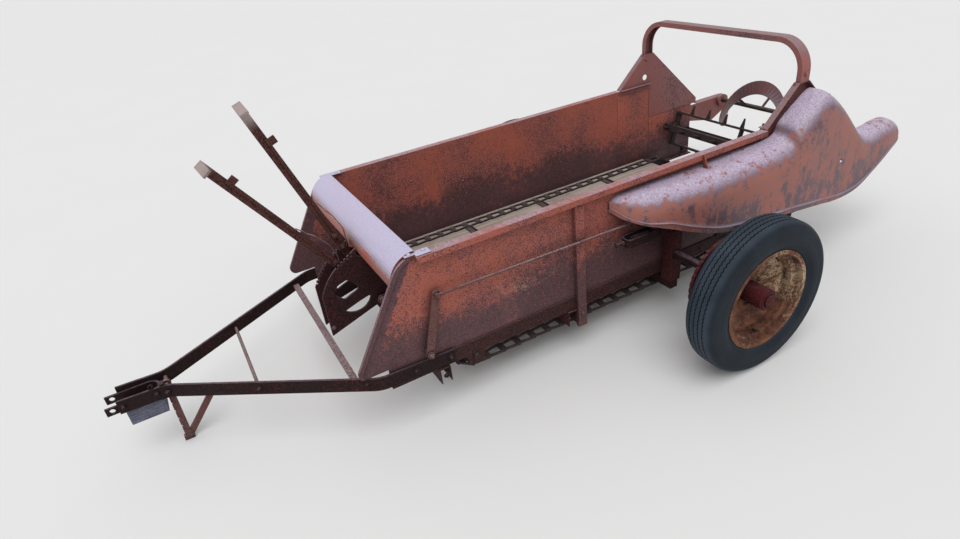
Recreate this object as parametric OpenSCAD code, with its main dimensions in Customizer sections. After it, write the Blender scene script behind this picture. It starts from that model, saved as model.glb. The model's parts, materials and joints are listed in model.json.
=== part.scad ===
// Two-wheel ground-driven manure spreader, as parked on its wheels and hitch stand.
// X runs forward to the hitch, Y to the left, Z up, with the ground at Z = 0.

/* [Load box] */
// Width over the outer faces of the side panels
box_w = 1028; // [960:2:1100]
// Height of the side rails above the ground
rail_z = 774; // [740:1:820]
// Thickness of the pressed sheet
sheet_t = 3; // [2.5:0.5:4]
// Height of the sill bars
sill_h = 60; // [50:1:70]
// Height of the sills' underside above the ground
sill_z = 234; // [220:1:250]
// Width of the flange that turns outwards along a side rail
rail_w = 36; // [28:1:44]
// Depth of the lip that turns down from that flange
rail_lip = 26; // [18:1:34]
// Distance of the front wall from the wheel axis
wall_x = 1250; // [1200:1:1280]
// Radius of the rolled hood over the front wall
hood_r = 110; // [90:1:120]
// Thickness of a floor board
board_t = 20; // [16:1:24]
// Number of floor boards
board_n = 6; // [5:1:8]
// Distance of the floor's rear edge behind the wheel axis
floor_rear = 780; // [740:1:820]

/* [Tongue and hitch] */
// Height of a tongue bar
bar_h = 60; // [50:1:70]
// Thickness of a tongue bar
bar_t = 10; // [8:1:12]
// Rise of the tongue towards the hitch, in degrees
bar_rise = 1.85; // [0:0.05:3]
// Distance of the clevis tips from the wheel axis
hitch_x = 2452; // [2440:1:2500]
// Radius of the hitch pin's bore
pin_r = 11; // [9:0.5:13]
// Height of the clevis straps
clevis_h = 35; // [32:1:42]
// Thickness of the clevis strap
clevis_t = 10; // [8:1:12]

/* [Wheels] */
// Outer radius of a tyre
tyre_r = 340; // [330:1:350]
// Width of a tyre at its widest
tyre_w = 150; // [140:1:160]
// Radius of the rim's flanges
rim_r = 221; // [215:1:228]
// Width over the rim's flanges
rim_w = 122; // [112:1:130]
// Distance of the left tyre's middle plane from the centre line, outside the drive
wheel_y = 1028; // [1000:1:1060]
// The same on the right, where there is no drive
wheel_right_y = 790; // [780:1:840]
// Radius of a wheel's spindle
spindle_r = 19; // [16:0.5:22]

/* [Beater and widespread] */
// Distance of the beater's axis behind the wheel axis
beater_x = 1050; // [1040:1:1070]
// Height of the beater's axis
beater_z = 436; // [425:1:450]
// Radius from the beater's axis to the middle of its bars
beater_r = 100; // [90:1:105]
// Length of a beater tooth
tooth_l = 62; // [50:1:66]
// Distance from tooth to tooth along a beater bar
tooth_step = 130; // [110:5:150]
// Distance of the widespread's axis behind the wheel axis
spread_x = 1466; // [1450:1:1480]
// Height of the widespread's axis
spread_z = 527; // [515:1:540]
// Outer radius of the widespread's blades
spread_r = 165; // [150:1:180]

/* [Apron] */
// Distance from joint to joint of an apron chain
pitch = 80; // [76:1:84]
// Number of links from one slat to the next
slat_links = 6; // [4:1:8]
// Distance of an apron chain's middle from the centre line
apron_y = 447; // [410:1:450]

/* [Controls] */
// Length of the left hand lever from its pivot
lever_left_l = 925; // [850:5:960]
// Length of the right hand lever from its pivot
lever_right_l = 975; // [900:5:1000]
// Lean of the left lever above the horizontal, in degrees
lever_left_a = 55.5; // [50:0.5:58]
// Lean of the right lever above the horizontal, in degrees
lever_right_a = 70; // [64:0.5:71]
// Radius of the notched quadrants
quadrant_r = 262; // [250:1:268]

/* [Hidden] */

// Running gap of a shaft in its bearing, on the radius
run_gap = 0.08;
// Gap that keeps seated faces of different pieces apart
seat_gap = 0.3;

half_w = box_w / 2;
in_w = half_w - sheet_t;
rail_y = half_w + rail_w;
sill_t = 6;
floor_z = sill_z + sill_h - 4;
board_z = floor_z - board_t;
stake_x = 514;
stake_w = 44;
axle_z = tyre_r;

// Apron chains: a flat run of whole links, and six-sided sprockets whose corner radius is one pitch
link_t = 9;
top_chain_z = floor_z + seat_gap;
turn_z = top_chain_z + link_t / 2 - pitch;
rear_sprocket_x = -floor_rear - pitch;
run_links = floor((wall_x - 185 - rear_sprocket_x) / pitch);
front_sprocket_x = rear_sprocket_x + run_links * pitch;

// Halfway between the clevis tips and the rear of the widespread's blades
origin_x = (hitch_x - spread_x - spread_r) / 2;
// Halfway between the outer faces of the two wheels
origin_y = (wheel_y - wheel_right_y) / 2;

red = [0.50, 0.20, 0.15];
dark_red = [0.30, 0.12, 0.11];
pink = [0.66, 0.42, 0.38];
maroon = [0.20, 0.10, 0.10];
steel = [0.22, 0.21, 0.21];
wood = [0.42, 0.39, 0.35];
rubber = [0.13, 0.14, 0.16];
rust = [0.45, 0.30, 0.20];

function unit(v) = v / norm(v);
function turned(v) = [-v[1], v[0]];

// Points of the arc of radius r that rounds corner b between a and c
function corner(a, b, c, r, n = 6) =
    let (u = unit(a - b), v = unit(c - b), half = acos(u * v) / 2,
        m = b + unit(u + v) * r / sin(half), p = b + u * r / tan(half), q = b + v * r / tan(half),
        a0 = atan2(p[1] - m[1], p[0] - m[0]), a1 = atan2(q[1] - m[1], q[0] - m[0]),
        sweep = (a1 - a0 + 540) % 360 - 180)
    [for (i = [0:n]) m + r * [cos(a0 + sweep * i / n), sin(a0 + sweep * i / n)]];

// Closed outline from rows of [x, y, corner radius]
function outline(rows) = [for (i = [0:len(rows) - 1])
    let (k = len(rows), a = rows[(i + k - 1) % k], b = rows[i], c = rows[(i + 1) % k])
    each (b[2] > 0 ? corner([a[0], a[1]], [b[0], b[1]], [c[0], c[1]], b[2]) : [[b[0], b[1]]])];

// Open path from rows of [x, y, bend radius], with plain ends
function path(rows) = [for (i = [0:len(rows) - 1])
    let (k = len(rows), b = rows[i])
    each (i > 0 && i < k - 1 && b[2] > 0
        ? corner([rows[i - 1][0], rows[i - 1][1]], [b[0], b[1]],
            [rows[i + 1][0], rows[i + 1][1]], b[2])
        : [[b[0], b[1]]])];

// Path moved sideways by d
function beside(pts, d) = [for (i = [0:len(pts) - 1])
    let (k = len(pts), b = pts[i],
        u = unit(i > 0 ? b - pts[i - 1] : pts[i + 1] - b),
        v = unit(i < k - 1 ? pts[i + 1] - b : b - pts[i - 1]), n = unit(turned(u + v)))
    b + n * d / (n * turned(u))];

// Middle of the circle through three points
function middle(a, b, c) =
    let (d = 2 * (a[0] * (b[1] - c[1]) + b[0] * (c[1] - a[1]) + c[0] * (a[1] - b[1])))
    [(a * a) * (b[1] - c[1]) + (b * b) * (c[1] - a[1]) + (c * c) * (a[1] - b[1]),
        (a * a) * (c[0] - b[0]) + (b * b) * (a[0] - c[0]) + (c * c) * (b[0] - a[0])] / d;

// Points of the arc from a through b to c, turning clockwise
function arc(a, b, c, n = 16) =
    let (m = middle(a, b, c), a0 = atan2(a[1] - m[1], a[0] - m[0]),
        a1 = atan2(c[1] - m[1], c[0] - m[0]), sweep = (a0 - a1 + 720) % 360)
    [for (i = [0:n]) m + norm(a - m) * [cos(a0 - sweep * i / n), sin(a0 - sweep * i / n)]];

// Closed strip of width w along a path
function strip(pts, w) = let (b = beside(pts, -w / 2))
    concat(beside(pts, w / 2), [for (i = [len(b) - 1:-1:0]) b[i]]);

module in_frame() {
    translate([-origin_x, -origin_y, 0]) children();
}

// Flat plate drawn in the X-Z plane, from y outwards by t
module plate(y, t) {
    translate([0, y + t, 0]) rotate([90, 0, 0]) linear_extrude(t) children();
}

module rod_y(x, z, r, y0, y1, fn = 32) {
    translate([x, y1, z]) rotate([90, 0, 0]) cylinder(r = r, h = y1 - y0, $fn = fn);
}

module rod(a, b, r, fn = 20) {
    d = b - a;
    translate(a) rotate([0, acos(d[2] / norm(d)), atan2(d[1], d[0])])
        cylinder(r = r, h = norm(d), $fn = fn);
}

module right_side() {
    mirror([0, 1, 0]) children();
}

// Side panel: its front slope, its edge bead and the beater's bearing
bearing_r = 40;
bearing_l = 18;
beater_shaft_r = 16;
slope_top_x = wall_x + 67;
slope_foot_x = wall_x + 332;
front_low_x = wall_x + 190;
front_low_z = sill_z + sill_h + 28;
edge_w = 16;
edge_t = 10;
side_rear_x = -1190;
notch_x = -830;
notch_z = 565;

function side_rows() = [[side_rear_x, sill_z, 0], [front_low_x, sill_z, 0],
    [front_low_x, front_low_z, 0], [slope_foot_x, front_low_z, 30],
    [slope_top_x, rail_z, hood_r], [gusset_x, rail_z, 0], [notch_x, rail_z, 0],
    [notch_x, notch_z, 0], [side_rear_x, notch_z, 0]];

module side_panel() {
    difference() {
        union() {
            plate(in_w, sheet_t) polygon(outline(side_rows()));
            rod_y(-beater_x, beater_z, bearing_r, half_w, half_w + bearing_l, 48);
        }
        rod_y(-beater_x, beater_z, beater_shaft_r + run_gap, in_w - 1, half_w + bearing_l + 1, 48);
    }
    rail_l = wall_x + 4 - gusset_x;
    translate([gusset_x, half_w, rail_z - sheet_t]) cube([rail_l, rail_w, sheet_t]);
    translate([gusset_x, rail_y - sheet_t, rail_z - rail_lip]) cube([rail_l, sheet_t, rail_lip]);
    plate(half_w, edge_t) difference() {
        polygon(outline(side_rows()));
        translate([-edge_w, -edge_w / 2]) polygon(outline(side_rows()));
        translate([-2000, 0]) square([2000 + wall_x, 1000]);
        square([2000, front_low_z + 8]);
    }
}

// Bores for the apron's two shafts in what carries them on a side
module apron_shaft_holes() {
    for (x = [front_sprocket_x, rear_sprocket_x])
        rod_y(x, turn_z, apron_shaft_r + run_gap, half_w - 60, half_w + 60, 40);
}

module side_left() {
    color(red) in_frame() difference() {
        side_panel();
        rod_y(crank_foot[0], crank_foot[1], crank_shaft_r + run_gap, in_w - 1, half_w + 1, 40);
    }
}

module side_right() {
    color(red) in_frame() right_side() side_panel();
}

// Rolled hood, wall, and a ledge that closes the floor ahead of the apron's turn
hood_z = rail_z + 13;
ledge_x = front_sprocket_x + pitch + 26;
module front_wall() {
    color(pink) in_frame() {
        mid_r = hood_r - sheet_t / 2;
        hood = [for (a = [-8:7:90]) [wall_x, hood_z - hood_r] + mid_r * [cos(a), sin(a)]];
        plate(-in_w + seat_gap, 2 * (in_w - seat_gap)) {
            polygon(strip(hood, sheet_t));
            translate([wall_x - sheet_t, floor_z]) square([sheet_t, hood_z - floor_z]);
            translate([ledge_x, floor_z]) square([wall_x - ledge_x, sheet_t]);
        }
    }
}

module floor_boards() {
    front = front_sprocket_x - pitch * 0.9;
    w = (2 * in_w - 2) / board_n;
    color(wood) in_frame()
        for (i = [0:board_n - 1])
            translate([-floor_rear, -in_w + 1 + i * w, board_z])
                cube([front + floor_rear, w - 0.8, board_t]);
}

// Angle-section bar along the foot of a side panel, with a hanging plate for each apron shaft
bearing_plate_w = 90;
sill_flange = 30;
module sill() {
    flange_z = sill_z - seat_gap - sill_t;
    difference() {
        union() {
            translate([side_rear_x, half_w + seat_gap, sill_z])
                cube([front_low_x - side_rear_x, sill_t - seat_gap, sill_h]);
            translate([side_rear_x, half_w - sill_flange, flange_z])
                cube([front_low_x - side_rear_x, sill_flange + sill_t, sill_t]);
            for (x = [front_sprocket_x, rear_sprocket_x])
                plate(half_w + seat_gap, sill_t - seat_gap) polygon(outline([
                    [x - bearing_plate_w / 2, sill_z + 4, 0], [x - 34, turn_z - 36, 14],
                    [x + 34, turn_z - 36, 14], [x + bearing_plate_w / 2, sill_z + 4, 0]]));
        }
        apron_shaft_holes();
    }
}

module sill_left() {
    color(dark_red) in_frame() sill();
}

module sill_right() {
    color(dark_red) in_frame() right_side() sill();
}

// Cross channels under the sills, and flat bearers under the boards
channel_z = sill_z - 2 * seat_gap - sill_t;
channel_h = 74;
channel_w = 50;
channel_t = 4;
channel_end = half_w + sill_t + 10;
// Middles of the channels along X, the second one just behind the side stakes
cross_x = [wall_x - 38, stake_x + stake_w / 2 + 2 + channel_w / 2, -420];
bearer_x = [940, 730, 320, -180, -700];
bearer_w = 40;
bearer_t = 12;
module cross_sills() {
    color(dark_red) in_frame() {
        for (x = cross_x)
            translate([x - channel_w / 2, -channel_end, channel_z - channel_h]) difference() {
                cube([channel_w, 2 * channel_end, channel_h]);
                translate([channel_t, -1, -channel_t])
                    cube([channel_w - 2 * channel_t, 2 * channel_end + 2, channel_h]);
            }
        for (x = bearer_x)
            translate([x - bearer_w / 2, -in_w + seat_gap, board_z - seat_gap - bearer_t])
                cube([bearer_w, 2 * (in_w - seat_gap), bearer_t]);
    }
}

// Plan of a tongue bar: lapped on the sill, bent in, then parallel at the hitch
bar_rear_x = 1160;
bar_y = half_w + sill_t + seat_gap + bar_t / 2;
bar_tip_y = 52;
bar_tip_x = hitch_x - 46;
function bar_path() = path([[bar_rear_x, bar_y], [bar_bend_x[0], bar_y, bar_bend_r],
    [bar_bend_x[1], bar_tip_y, bar_bend_r], [bar_tip_x, bar_tip_y]]);
bar_low_z = sill_z + 6;
bar_bend_x = [wall_x + 235, hitch_x - 230];
bar_bend_r = 120;
bar_slope = (bar_y - bar_tip_y) / (bar_bend_x[1] - bar_bend_x[0]);
// Inner face of a tongue bar's slanting leg at a distance x from the wheel axis
function bar_in(x) = bar_tip_y + (bar_bend_x[1] - x) * bar_slope - bar_t / 2 / cos(atan(bar_slope));
// Inner face of its front bend
function bend_in(x) = let (m = bar_bend_x[1] + bar_bend_r * tan(atan(bar_slope) / 2))
    bar_tip_y + bar_bend_r - sqrt(pow(bar_bend_r + bar_t / 2, 2) - pow(m - x, 2));
// Height of a tongue bar's underside at a distance x from the wheel axis
function bar_z(x) = bar_low_z + (x - bar_rear_x) * tan(bar_rise);

module tongue_bar() {
    translate([bar_rear_x, 0, bar_low_z]) rotate([0, -bar_rise, 0])
        translate([-bar_rear_x, 0, 0]) linear_extrude(bar_h) polygon(strip(bar_path(), bar_t));
}

module tongue_left() {
    color(maroon) in_frame() tongue_bar();
}

module tongue_right() {
    color(maroon) in_frame() right_side() tongue_bar();
}

// Flat strap across the tongue, between the inner faces of the bars
strap_x = wall_x + 313;
strap_w = 28;
strap_t = 8;
module tongue_strap() {
    half_l = bar_in(strap_x + strap_w / 2) - seat_gap;
    color(steel) in_frame() translate([strap_x - strap_w / 2, -half_l, bar_z(strap_x) + bar_h / 2])
        cube([strap_w, 2 * half_l, strap_t]);
}

rod_x = 1900;
rod_r = 7;
rod_z = bar_z(rod_x) + bar_h / 2;
module tongue_rod() {
    rod_half = bar_in(rod_x + rod_r) - seat_gap;
    pin_half = bend_in(stand_x + stand_pin_r) - seat_gap;
    color(steel) in_frame() {
        rod_y(rod_x, rod_z, rod_r, -rod_half, rod_half);
        rod_y(stand_x, stand_z, stand_pin_r, -pin_half, pin_half, 40);
    }
}

// U strap between the bars' tips, with the pin's bore through both of its arms
clevis_y = bar_tip_y - bar_t / 2 - seat_gap;
clevis_rear = hitch_x - 205;
clevis_z = bar_z(bar_tip_x) + clevis_h / 2 + 2;
pin_x = hitch_x - 24;
module hitch_clevis() {
    mid = clevis_y - clevis_t / 2;
    bend = [for (a = [90:15:270]) [clevis_rear + mid, 0] + mid * [cos(a), sin(a)]];
    loop = concat([[hitch_x, mid]], bend, [[hitch_x, -mid]]);
    color(maroon) in_frame() difference() {
        translate([0, 0, clevis_z - clevis_h / 2]) linear_extrude(clevis_h)
            polygon(strip(loop, clevis_t));
        rod_y(pin_x, clevis_z, pin_r, -clevis_y - 1, clevis_y + 1, 48);
    }
}

block_x = [hitch_x - 203, hitch_x - 62];
block_h = 82;
module hitch_block() {
    color(wood) in_frame()
        translate([block_x[0], -40, clevis_z - clevis_h / 2 - seat_gap - block_h])
            cube([block_x[1] - block_x[0], 80, block_h]);
}

// Stand: a leg and its notched brace, turning on a pin between the tongue bars
stand_x = hitch_x - 230;
stand_z = bar_z(stand_x) + bar_h / 2;
stand_pin_r = 9;
stand_t = 12;
stand_foot_h = 24;
module stand_leg() {
    foot = [stand_x + 6, stand_foot_h / 2];
    brace_top = [stand_x - 142, stand_z - 119];
    color(steel) in_frame() difference() {
        union() {
            plate(-stand_t / 2, stand_t) polygon(strip([[stand_x, stand_z], foot], 26));
            plate(-stand_t / 2, stand_t) polygon(strip([foot, brace_top], 26));
            rod_y(stand_x, stand_z, 18, -stand_t / 2, stand_t / 2, 40);
            translate([stand_x - 14, -stand_t / 2 - 4, 0]) cube([40, stand_t + 8, stand_foot_h]);
        }
        rod_y(stand_x, stand_z, stand_pin_r + run_gap, -20, 20, 40);
        for (i = [0:3])
            translate([stand_x + 12, -20, 70 + i * 42]) cube([20, 40, 12]);
    }
}

// Hand levers and their quadrants, in the recess in front of the wall
pivot_x = wall_x + 55;
pivot_z = 416;
quad_t = 8;
lever_t = 10;
lever_w = 34;
lever_gap = 6;
latch_t = 8;
shaft_r = 14;
// Near and far quadrant. Columns: inner face, angle of the first notch
quadrants = [[136, 54], [34, 26]];
lever_y = [quadrants[0][0] - lever_gap - latch_t - lever_t, quadrants[1][0] + quad_t + lever_gap];
notch_step = 4;
notch_last = 70;
function at_pivot(a, r) = [pivot_x, pivot_z] + r * [cos(a), sin(a)];

// Plate: foot at the cross shaft, straight lower and front edges, then the notched arc
function quadrant_rows() = concat([[wall_x + seat_gap, 302], [wall_x + 44, 302],
    [wall_x + 52, 356], [pivot_x + 23, pivot_z - 26], [pivot_x + 244, pivot_z - 98]],
    [for (a = [21.5:3.5:60]) at_pivot(a, quadrant_r)],
    [at_pivot(76.8, quadrant_r + 13), [pivot_x + 62, hood_z - hood_r - 30],
        [wall_x + seat_gap, pivot_z + 184]]);

module control_quadrant() {
    color(maroon) in_frame() difference() {
        for (q = quadrants)
            plate(q[0], quad_t) difference() {
                polygon(quadrant_rows());
                for (a = [q[1]:notch_step:notch_last])
                    translate(at_pivot(a, quadrant_r)) rotate(a) square([16, 8], center = true);
                polygon(outline([for (k = [[48, 190], [37, 213], [26, 217], [19, 166], [48, 115]])
                    concat(at_pivot(k[0], k[1]), 14)]));
                polygon(arc(at_pivot(1, 169), at_pivot(-11.5, 115), at_pivot(41, 53)));
            }
        rod_y(pivot_x, pivot_z, shaft_r + run_gap, 0, 200, 40);
        rod_y(crank_foot[0], crank_foot[1], crank_shaft_r + run_gap, 0, 200, 40);
    }
}

// Levers' pivot, bell crank outside the left panel with its cross shaft, and the control rod
crank_foot = [wall_x + 18, 333];
crank_top = [wall_x - 50, 590];
crank_shaft_r = 12;
crank_y = half_w + 20;
crank_t = 8;
crank_w = 34;
control_rod_r = 6;
control_rod_end = [-180, 560];
module control_linkage() {
    rod_y0 = crank_y + crank_t + control_rod_r - 1;
    color(steel) in_frame() {
        rod_y(pivot_x, pivot_z, shaft_r, quadrants[1][0] - 14, quadrants[0][0] + quad_t + 14);
        rod_y(crank_foot[0], crank_foot[1], crank_shaft_r, quadrants[1][0] - 14, crank_y + crank_t + 8);
        plate(crank_y, crank_t) {
            polygon(strip([crank_foot, crank_top], crank_w));
            for (p = [crank_foot, crank_top]) translate(p) circle(r = crank_w / 2, $fn = 32);
        }
        rod([crank_top[0], rod_y0, crank_top[1]], [control_rod_end[0], rod_y0, control_rod_end[1]],
            control_rod_r);
        rod_y(crank_top[0], crank_top[1], 9, crank_y - 4, rod_y0 + 12);
    }
}

// Flat lever of length l at an angle a: eye, bar, latch strap with its pawl and thumb tab,
// and a grip turned outwards at its end
grip_l = 75;
grip_back = 17;
pawl_r = quadrant_r - 12;
thumb_r = 815;
module lever(a, y, l) {
    translate([pivot_x, y, pivot_z]) rotate([0, -a, 0]) difference() {
        union() {
            translate([0, 0, -lever_w / 2]) cube([l, lever_t, lever_w]);
            rod_y(0, 0, 30, 0, lever_t, 40);
            translate([l - lever_t, lever_t / 2, -lever_w / 2]) rotate([0, 0, 90 + grip_back])
                translate([0, -lever_t, 0]) cube([grip_l, lever_t, lever_w]);
            translate([pawl_r, lever_t - 1, lever_w / 2 - 13])
                cube([thumb_r - pawl_r, 5, 12]);
            translate([pawl_r, lever_t - 1, -4]) cube([30, latch_t + 1, 20]);
            translate([thumb_r - 30, lever_t - 1, lever_w / 2 - 13]) cube([30, latch_t, 38]);
        }
        rod_y(0, 0, shaft_r + run_gap, -1, lever_t + 1, 40);
    }
}

module lever_left() {
    color(maroon) in_frame() lever(lever_left_a, lever_y[0], lever_left_l);
}

module lever_right() {
    color(maroon) in_frame() lever(lever_right_a, lever_y[1], lever_right_l);
}

// Upright channels on the sides, from the rails to below the sills, which they step over
stake_d = 22;
stake_t = 4;
stake_foot_z = 133;
module side_stake() {
    translate([stake_x - stake_w / 2, half_w + seat_gap, stake_foot_z]) difference() {
        cube([stake_w, stake_d, rail_z - rail_lip - stake_foot_z]);
        translate([stake_t, -stake_t, -1]) cube([stake_w - 2 * stake_t, stake_d, rail_z]);
        translate([-1, -1, sill_z - sill_t - 4 * seat_gap - stake_foot_z])
            cube([stake_w + 2, sill_t + seat_gap + 1, sill_h + sill_t + 8 * seat_gap]);
    }
}

module side_stakes() {
    color(red) in_frame() {
        side_stake();
        right_side() side_stake();
    }
}

// Raised rear part of a side, which carries the arch
gusset_x = -586;
apex_x = -815;
apex_z = 953;
apex_w = 34;
gusset_flange = 30;
slope_x = -1229;
slope_z = 595;
module gusset() {
    rows = [[gusset_x, rail_z], [apex_x + apex_w, apex_z], [apex_x - apex_w, apex_z],
        [slope_x, slope_z], [slope_x, notch_z - 2], [notch_x + 8, notch_z - 2],
        [notch_x + 8, rail_z - 26], [gusset_x, rail_z - 26]];
    plate(in_w - sheet_t - seat_gap, sheet_t) difference() {
        polygon(rows);
        translate([apex_x + 32, 820]) circle(r = 17, $fn = 32);
    }
    edge = [[gusset_x - 4, rail_z + 2], [apex_x + apex_w, apex_z], [apex_x - apex_w, apex_z],
        [slope_x, slope_z]];
    plate(in_w - seat_gap, gusset_flange) polygon(strip(edge, sheet_t));
}

module gusset_left() {
    color(red) in_frame() gusset();
}

module gusset_right() {
    color(red) in_frame() right_side() gusset();
}

// Rear arm that carries the widespread's bearing
arm_y = half_w + seat_gap;
arm_rear = -spread_x - 74;
arm_front = side_rear_x + 90;
arm_top = spread_z + 21;
arm_t = 5;
arm_flange = 50;
module rear_arm() {
    rows = [[arm_front, arm_top - 86, 0], [-spread_x + 66, arm_top - 148, 0],
        [arm_rear, arm_top - 78, 30], [arm_rear, arm_top, 30], [arm_front, arm_top, 0]];
    difference() {
        union() {
            plate(arm_y, arm_t) polygon(outline(rows));
            translate([arm_rear + 34, arm_y, arm_top - arm_t])
                cube([slope_x - 30 - arm_rear - 34, arm_flange, arm_t]);
            rod_y(-spread_x, spread_z, 38, arm_y - 24, arm_y + arm_t + 1);
        }
        rod_y(-spread_x, spread_z, shaft_r + run_gap, in_w - 60, half_w + 60, 40);
    }
}

module rear_arm_left() {
    color(dark_red) in_frame() rear_arm();
}

module rear_arm_right() {
    color(dark_red) in_frame() right_side() rear_arm();
}

// Arch over the rear of the box: a channel whose open side faces the inside of the bend
arch_x = apex_x;
arch_z = 1150;
arch_r = 150;
arch_w = 60;
arch_t = 26;
arch_wall = 5;
arch_leg_y = half_w - 1;
module arch_section() {
    difference() {
        translate([-arch_t, -arch_w / 2]) square([arch_t, arch_w]);
        translate([-arch_t - 1, arch_wall - arch_w / 2])
            square([arch_t - arch_wall + 1, arch_w - 2 * arch_wall]);
    }
}

module arch() {
    foot_z = apex_z + sheet_t / 2 + seat_gap;
    turn_y = arch_leg_y + arch_t - arch_r;
    color(red) in_frame() translate([arch_x, 0, 0]) {
        for (s = [0, 1]) mirror([0, s, 0]) {
            translate([0, arch_leg_y + arch_t, foot_z]) rotate([0, 0, 90])
                linear_extrude(arch_z - arch_r - foot_z) arch_section();
            translate([0, turn_y, arch_z - arch_r]) rotate([90, 0, 90])
                rotate_extrude(angle = 90, $fn = 64) translate([arch_r, 0]) arch_section();
        }
        translate([0, turn_y, arch_z]) rotate([90, 0, 0])
            linear_extrude(2 * turn_y) rotate(90) arch_section();
    }
}

// Pressed shell over the drive. Columns: station along X, height of the top edge,
// height of the foot, depth from the side to the outer face, gap from the side to the top edge
fender_rows = [
    [350, 694, 652, 10, 0.6],
    [310, 712, 618, 66, 0.6],
    [240, 716, 588, 126, 0.6],
    [120, 716, 545, 166, 0.6],
    [0, 714, 495, 182, 0.6],
    [-160, 714, 440, 186, 0.6],
    [-400, 722, 402, 186, 3],
    [-596, 742, 386, 186, 34],
    [-650, 804, 380, 186, 34],
    [-737, 868, 368, 184, 34],
    [-830, 920, 355, 180, 34],
    [-890, 902, 345, 176, 34],
    [-965, 848, 332, 172, 34],
    [-1070, 752, 322, 166, 34],
    [-1160, 662, 328, 162, 34],
    [-1240, 614, 350, 158, 34],
    [-1330, 612, 392, 152, 30],
    [-1420, 618, 436, 144, 24],
    [-1510, 612, 472, 128, 20],
    [-1570, 588, 496, 106, 16],
    [-1600, 552, 516, 66, 12]];
fender_t = 4;
fender_n = 10;
fender_round = 105;
fender_steps = 3;

// Row at a share t of the way from b to c, on a smooth curve past a and d
function smooth_row(a, b, c, d, t) = 0.5 * (2 * b + (c - a) * t + (2 * a - 5 * b + 4 * c - d) * t * t
    + (3 * b - a - 3 * c + d) * t * t * t);
function fender_stations() = let (k = len(fender_rows) - 1) concat(
    [for (j = [0:k - 1], i = [0:fender_steps - 1])
        smooth_row(fender_rows[max(j - 1, 0)], fender_rows[j], fender_rows[j + 1],
            fender_rows[min(j + 2, k)], i / fender_steps)],
    [fender_rows[k]]);

// Skin point i of a station: the top edge, round the shoulder, then the foot
function fender_point(row, i, inset) =
    let (y = half_w + row[3], r = min(fender_round, row[3] - row[4] - 1, (row[1] - row[2]) * 0.8),
        a = 90 - 90 * (i - 1) / (fender_n - 2), k = max(r - inset, 0.5))
    i == 0 ? [row[0], half_w + row[4], row[1] - inset]
    : i == fender_n ? [row[0], y - inset, row[2]]
    : [row[0], y - inset - k + k * cos(a), row[1] - inset - k + k * sin(a)];

module drive_fender() {
    ring = 2 * (fender_n + 1);
    stations = fender_stations();
    last = (len(stations) - 1) * ring;
    points = [for (row = stations) each concat(
        [for (i = [0:fender_n]) fender_point(row, i, 0)],
        [for (i = [fender_n:-1:0]) fender_point(row, i, fender_t)])];
    skins = [for (j = [0:ring:last - 1], i = [0:ring - 1])
        let (a = j + i, b = j + (i + 1) % ring)
        each [[a, b, b + ring], [a, b + ring, a + ring]]];
    caps = [for (i = [0:fender_n - 1]) let (k = ring - 1 - i)
        each [[k, i + 1, i], [k, k - 1, i + 1],
            [last + k, last + i, last + i + 1], [last + k, last + i + 1, last + k - 1]]];
    color(pink) in_frame() polyhedron(points = points, faces = concat(skins, caps), convexity = 8);
}

// Drive under the shell
chain_y = half_w + 76;
chain_w = 24;
jack_x = -300;
jack_z = 385;
jack_r = 16;
jack_sprocket_r = 55;
pinion_r = 72;
jack_end = 900;
module drive_shaft() {
    color(steel) in_frame() {
        rod_y(jack_x, jack_z, jack_r, half_w + seat_gap, jack_end, 40);
        rod_y(jack_x, jack_z, jack_sprocket_r, chain_y - 5, chain_y + 5, 48);
        rod_y(jack_x, jack_z, 34, half_w + seat_gap, half_w + 34, 40);
        translate([jack_x, jack_end - 18, jack_z]) rotate([90, 0, 0]) sprocket(14, pinion_r, 34);
    }
}

beater_sprocket_r = 60;
spread_sprocket_r = 46;
chain_gap = 5;
chain_t = 12;
// Wheels that the chain runs round. Columns: x, z, radius of the chain's inner face
function chain_wheels() = [[jack_x, jack_z, jack_sprocket_r + seat_gap],
    [-spread_x, spread_z, spread_sprocket_r + chain_gap],
    [-beater_x, beater_z, beater_sprocket_r + chain_gap]];

// Direction of the normal of the tangent from circle a to circle b, both [x, z, r]
function tangent_a(a, b) = let (d = [b[0] - a[0], b[1] - a[1]])
    atan2(d[1], d[0]) - acos((a[2] - b[2]) / norm(d));

// Belt round circles given anticlockwise, grown outwards
function belt(rows, grow, n = 16) = [for (i = [0:len(rows) - 1])
    let (k = len(rows), c = rows[i], a0 = tangent_a(rows[(i + k - 1) % k], c),
        a1 = tangent_a(c, rows[(i + 1) % k]), sweep = (a1 - a0 + 720) % 360)
    for (j = [0:n]) [c[0], c[1]] + (c[2] + grow) * [cos(a0 + sweep * j / n), sin(a0 + sweep * j / n)]];

module drive_chain() {
    color(steel) in_frame() plate(chain_y - chain_w / 2, chain_w) difference() {
        polygon(belt(chain_wheels(), chain_t));
        polygon(belt(chain_wheels(), 0));
    }
}

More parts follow.
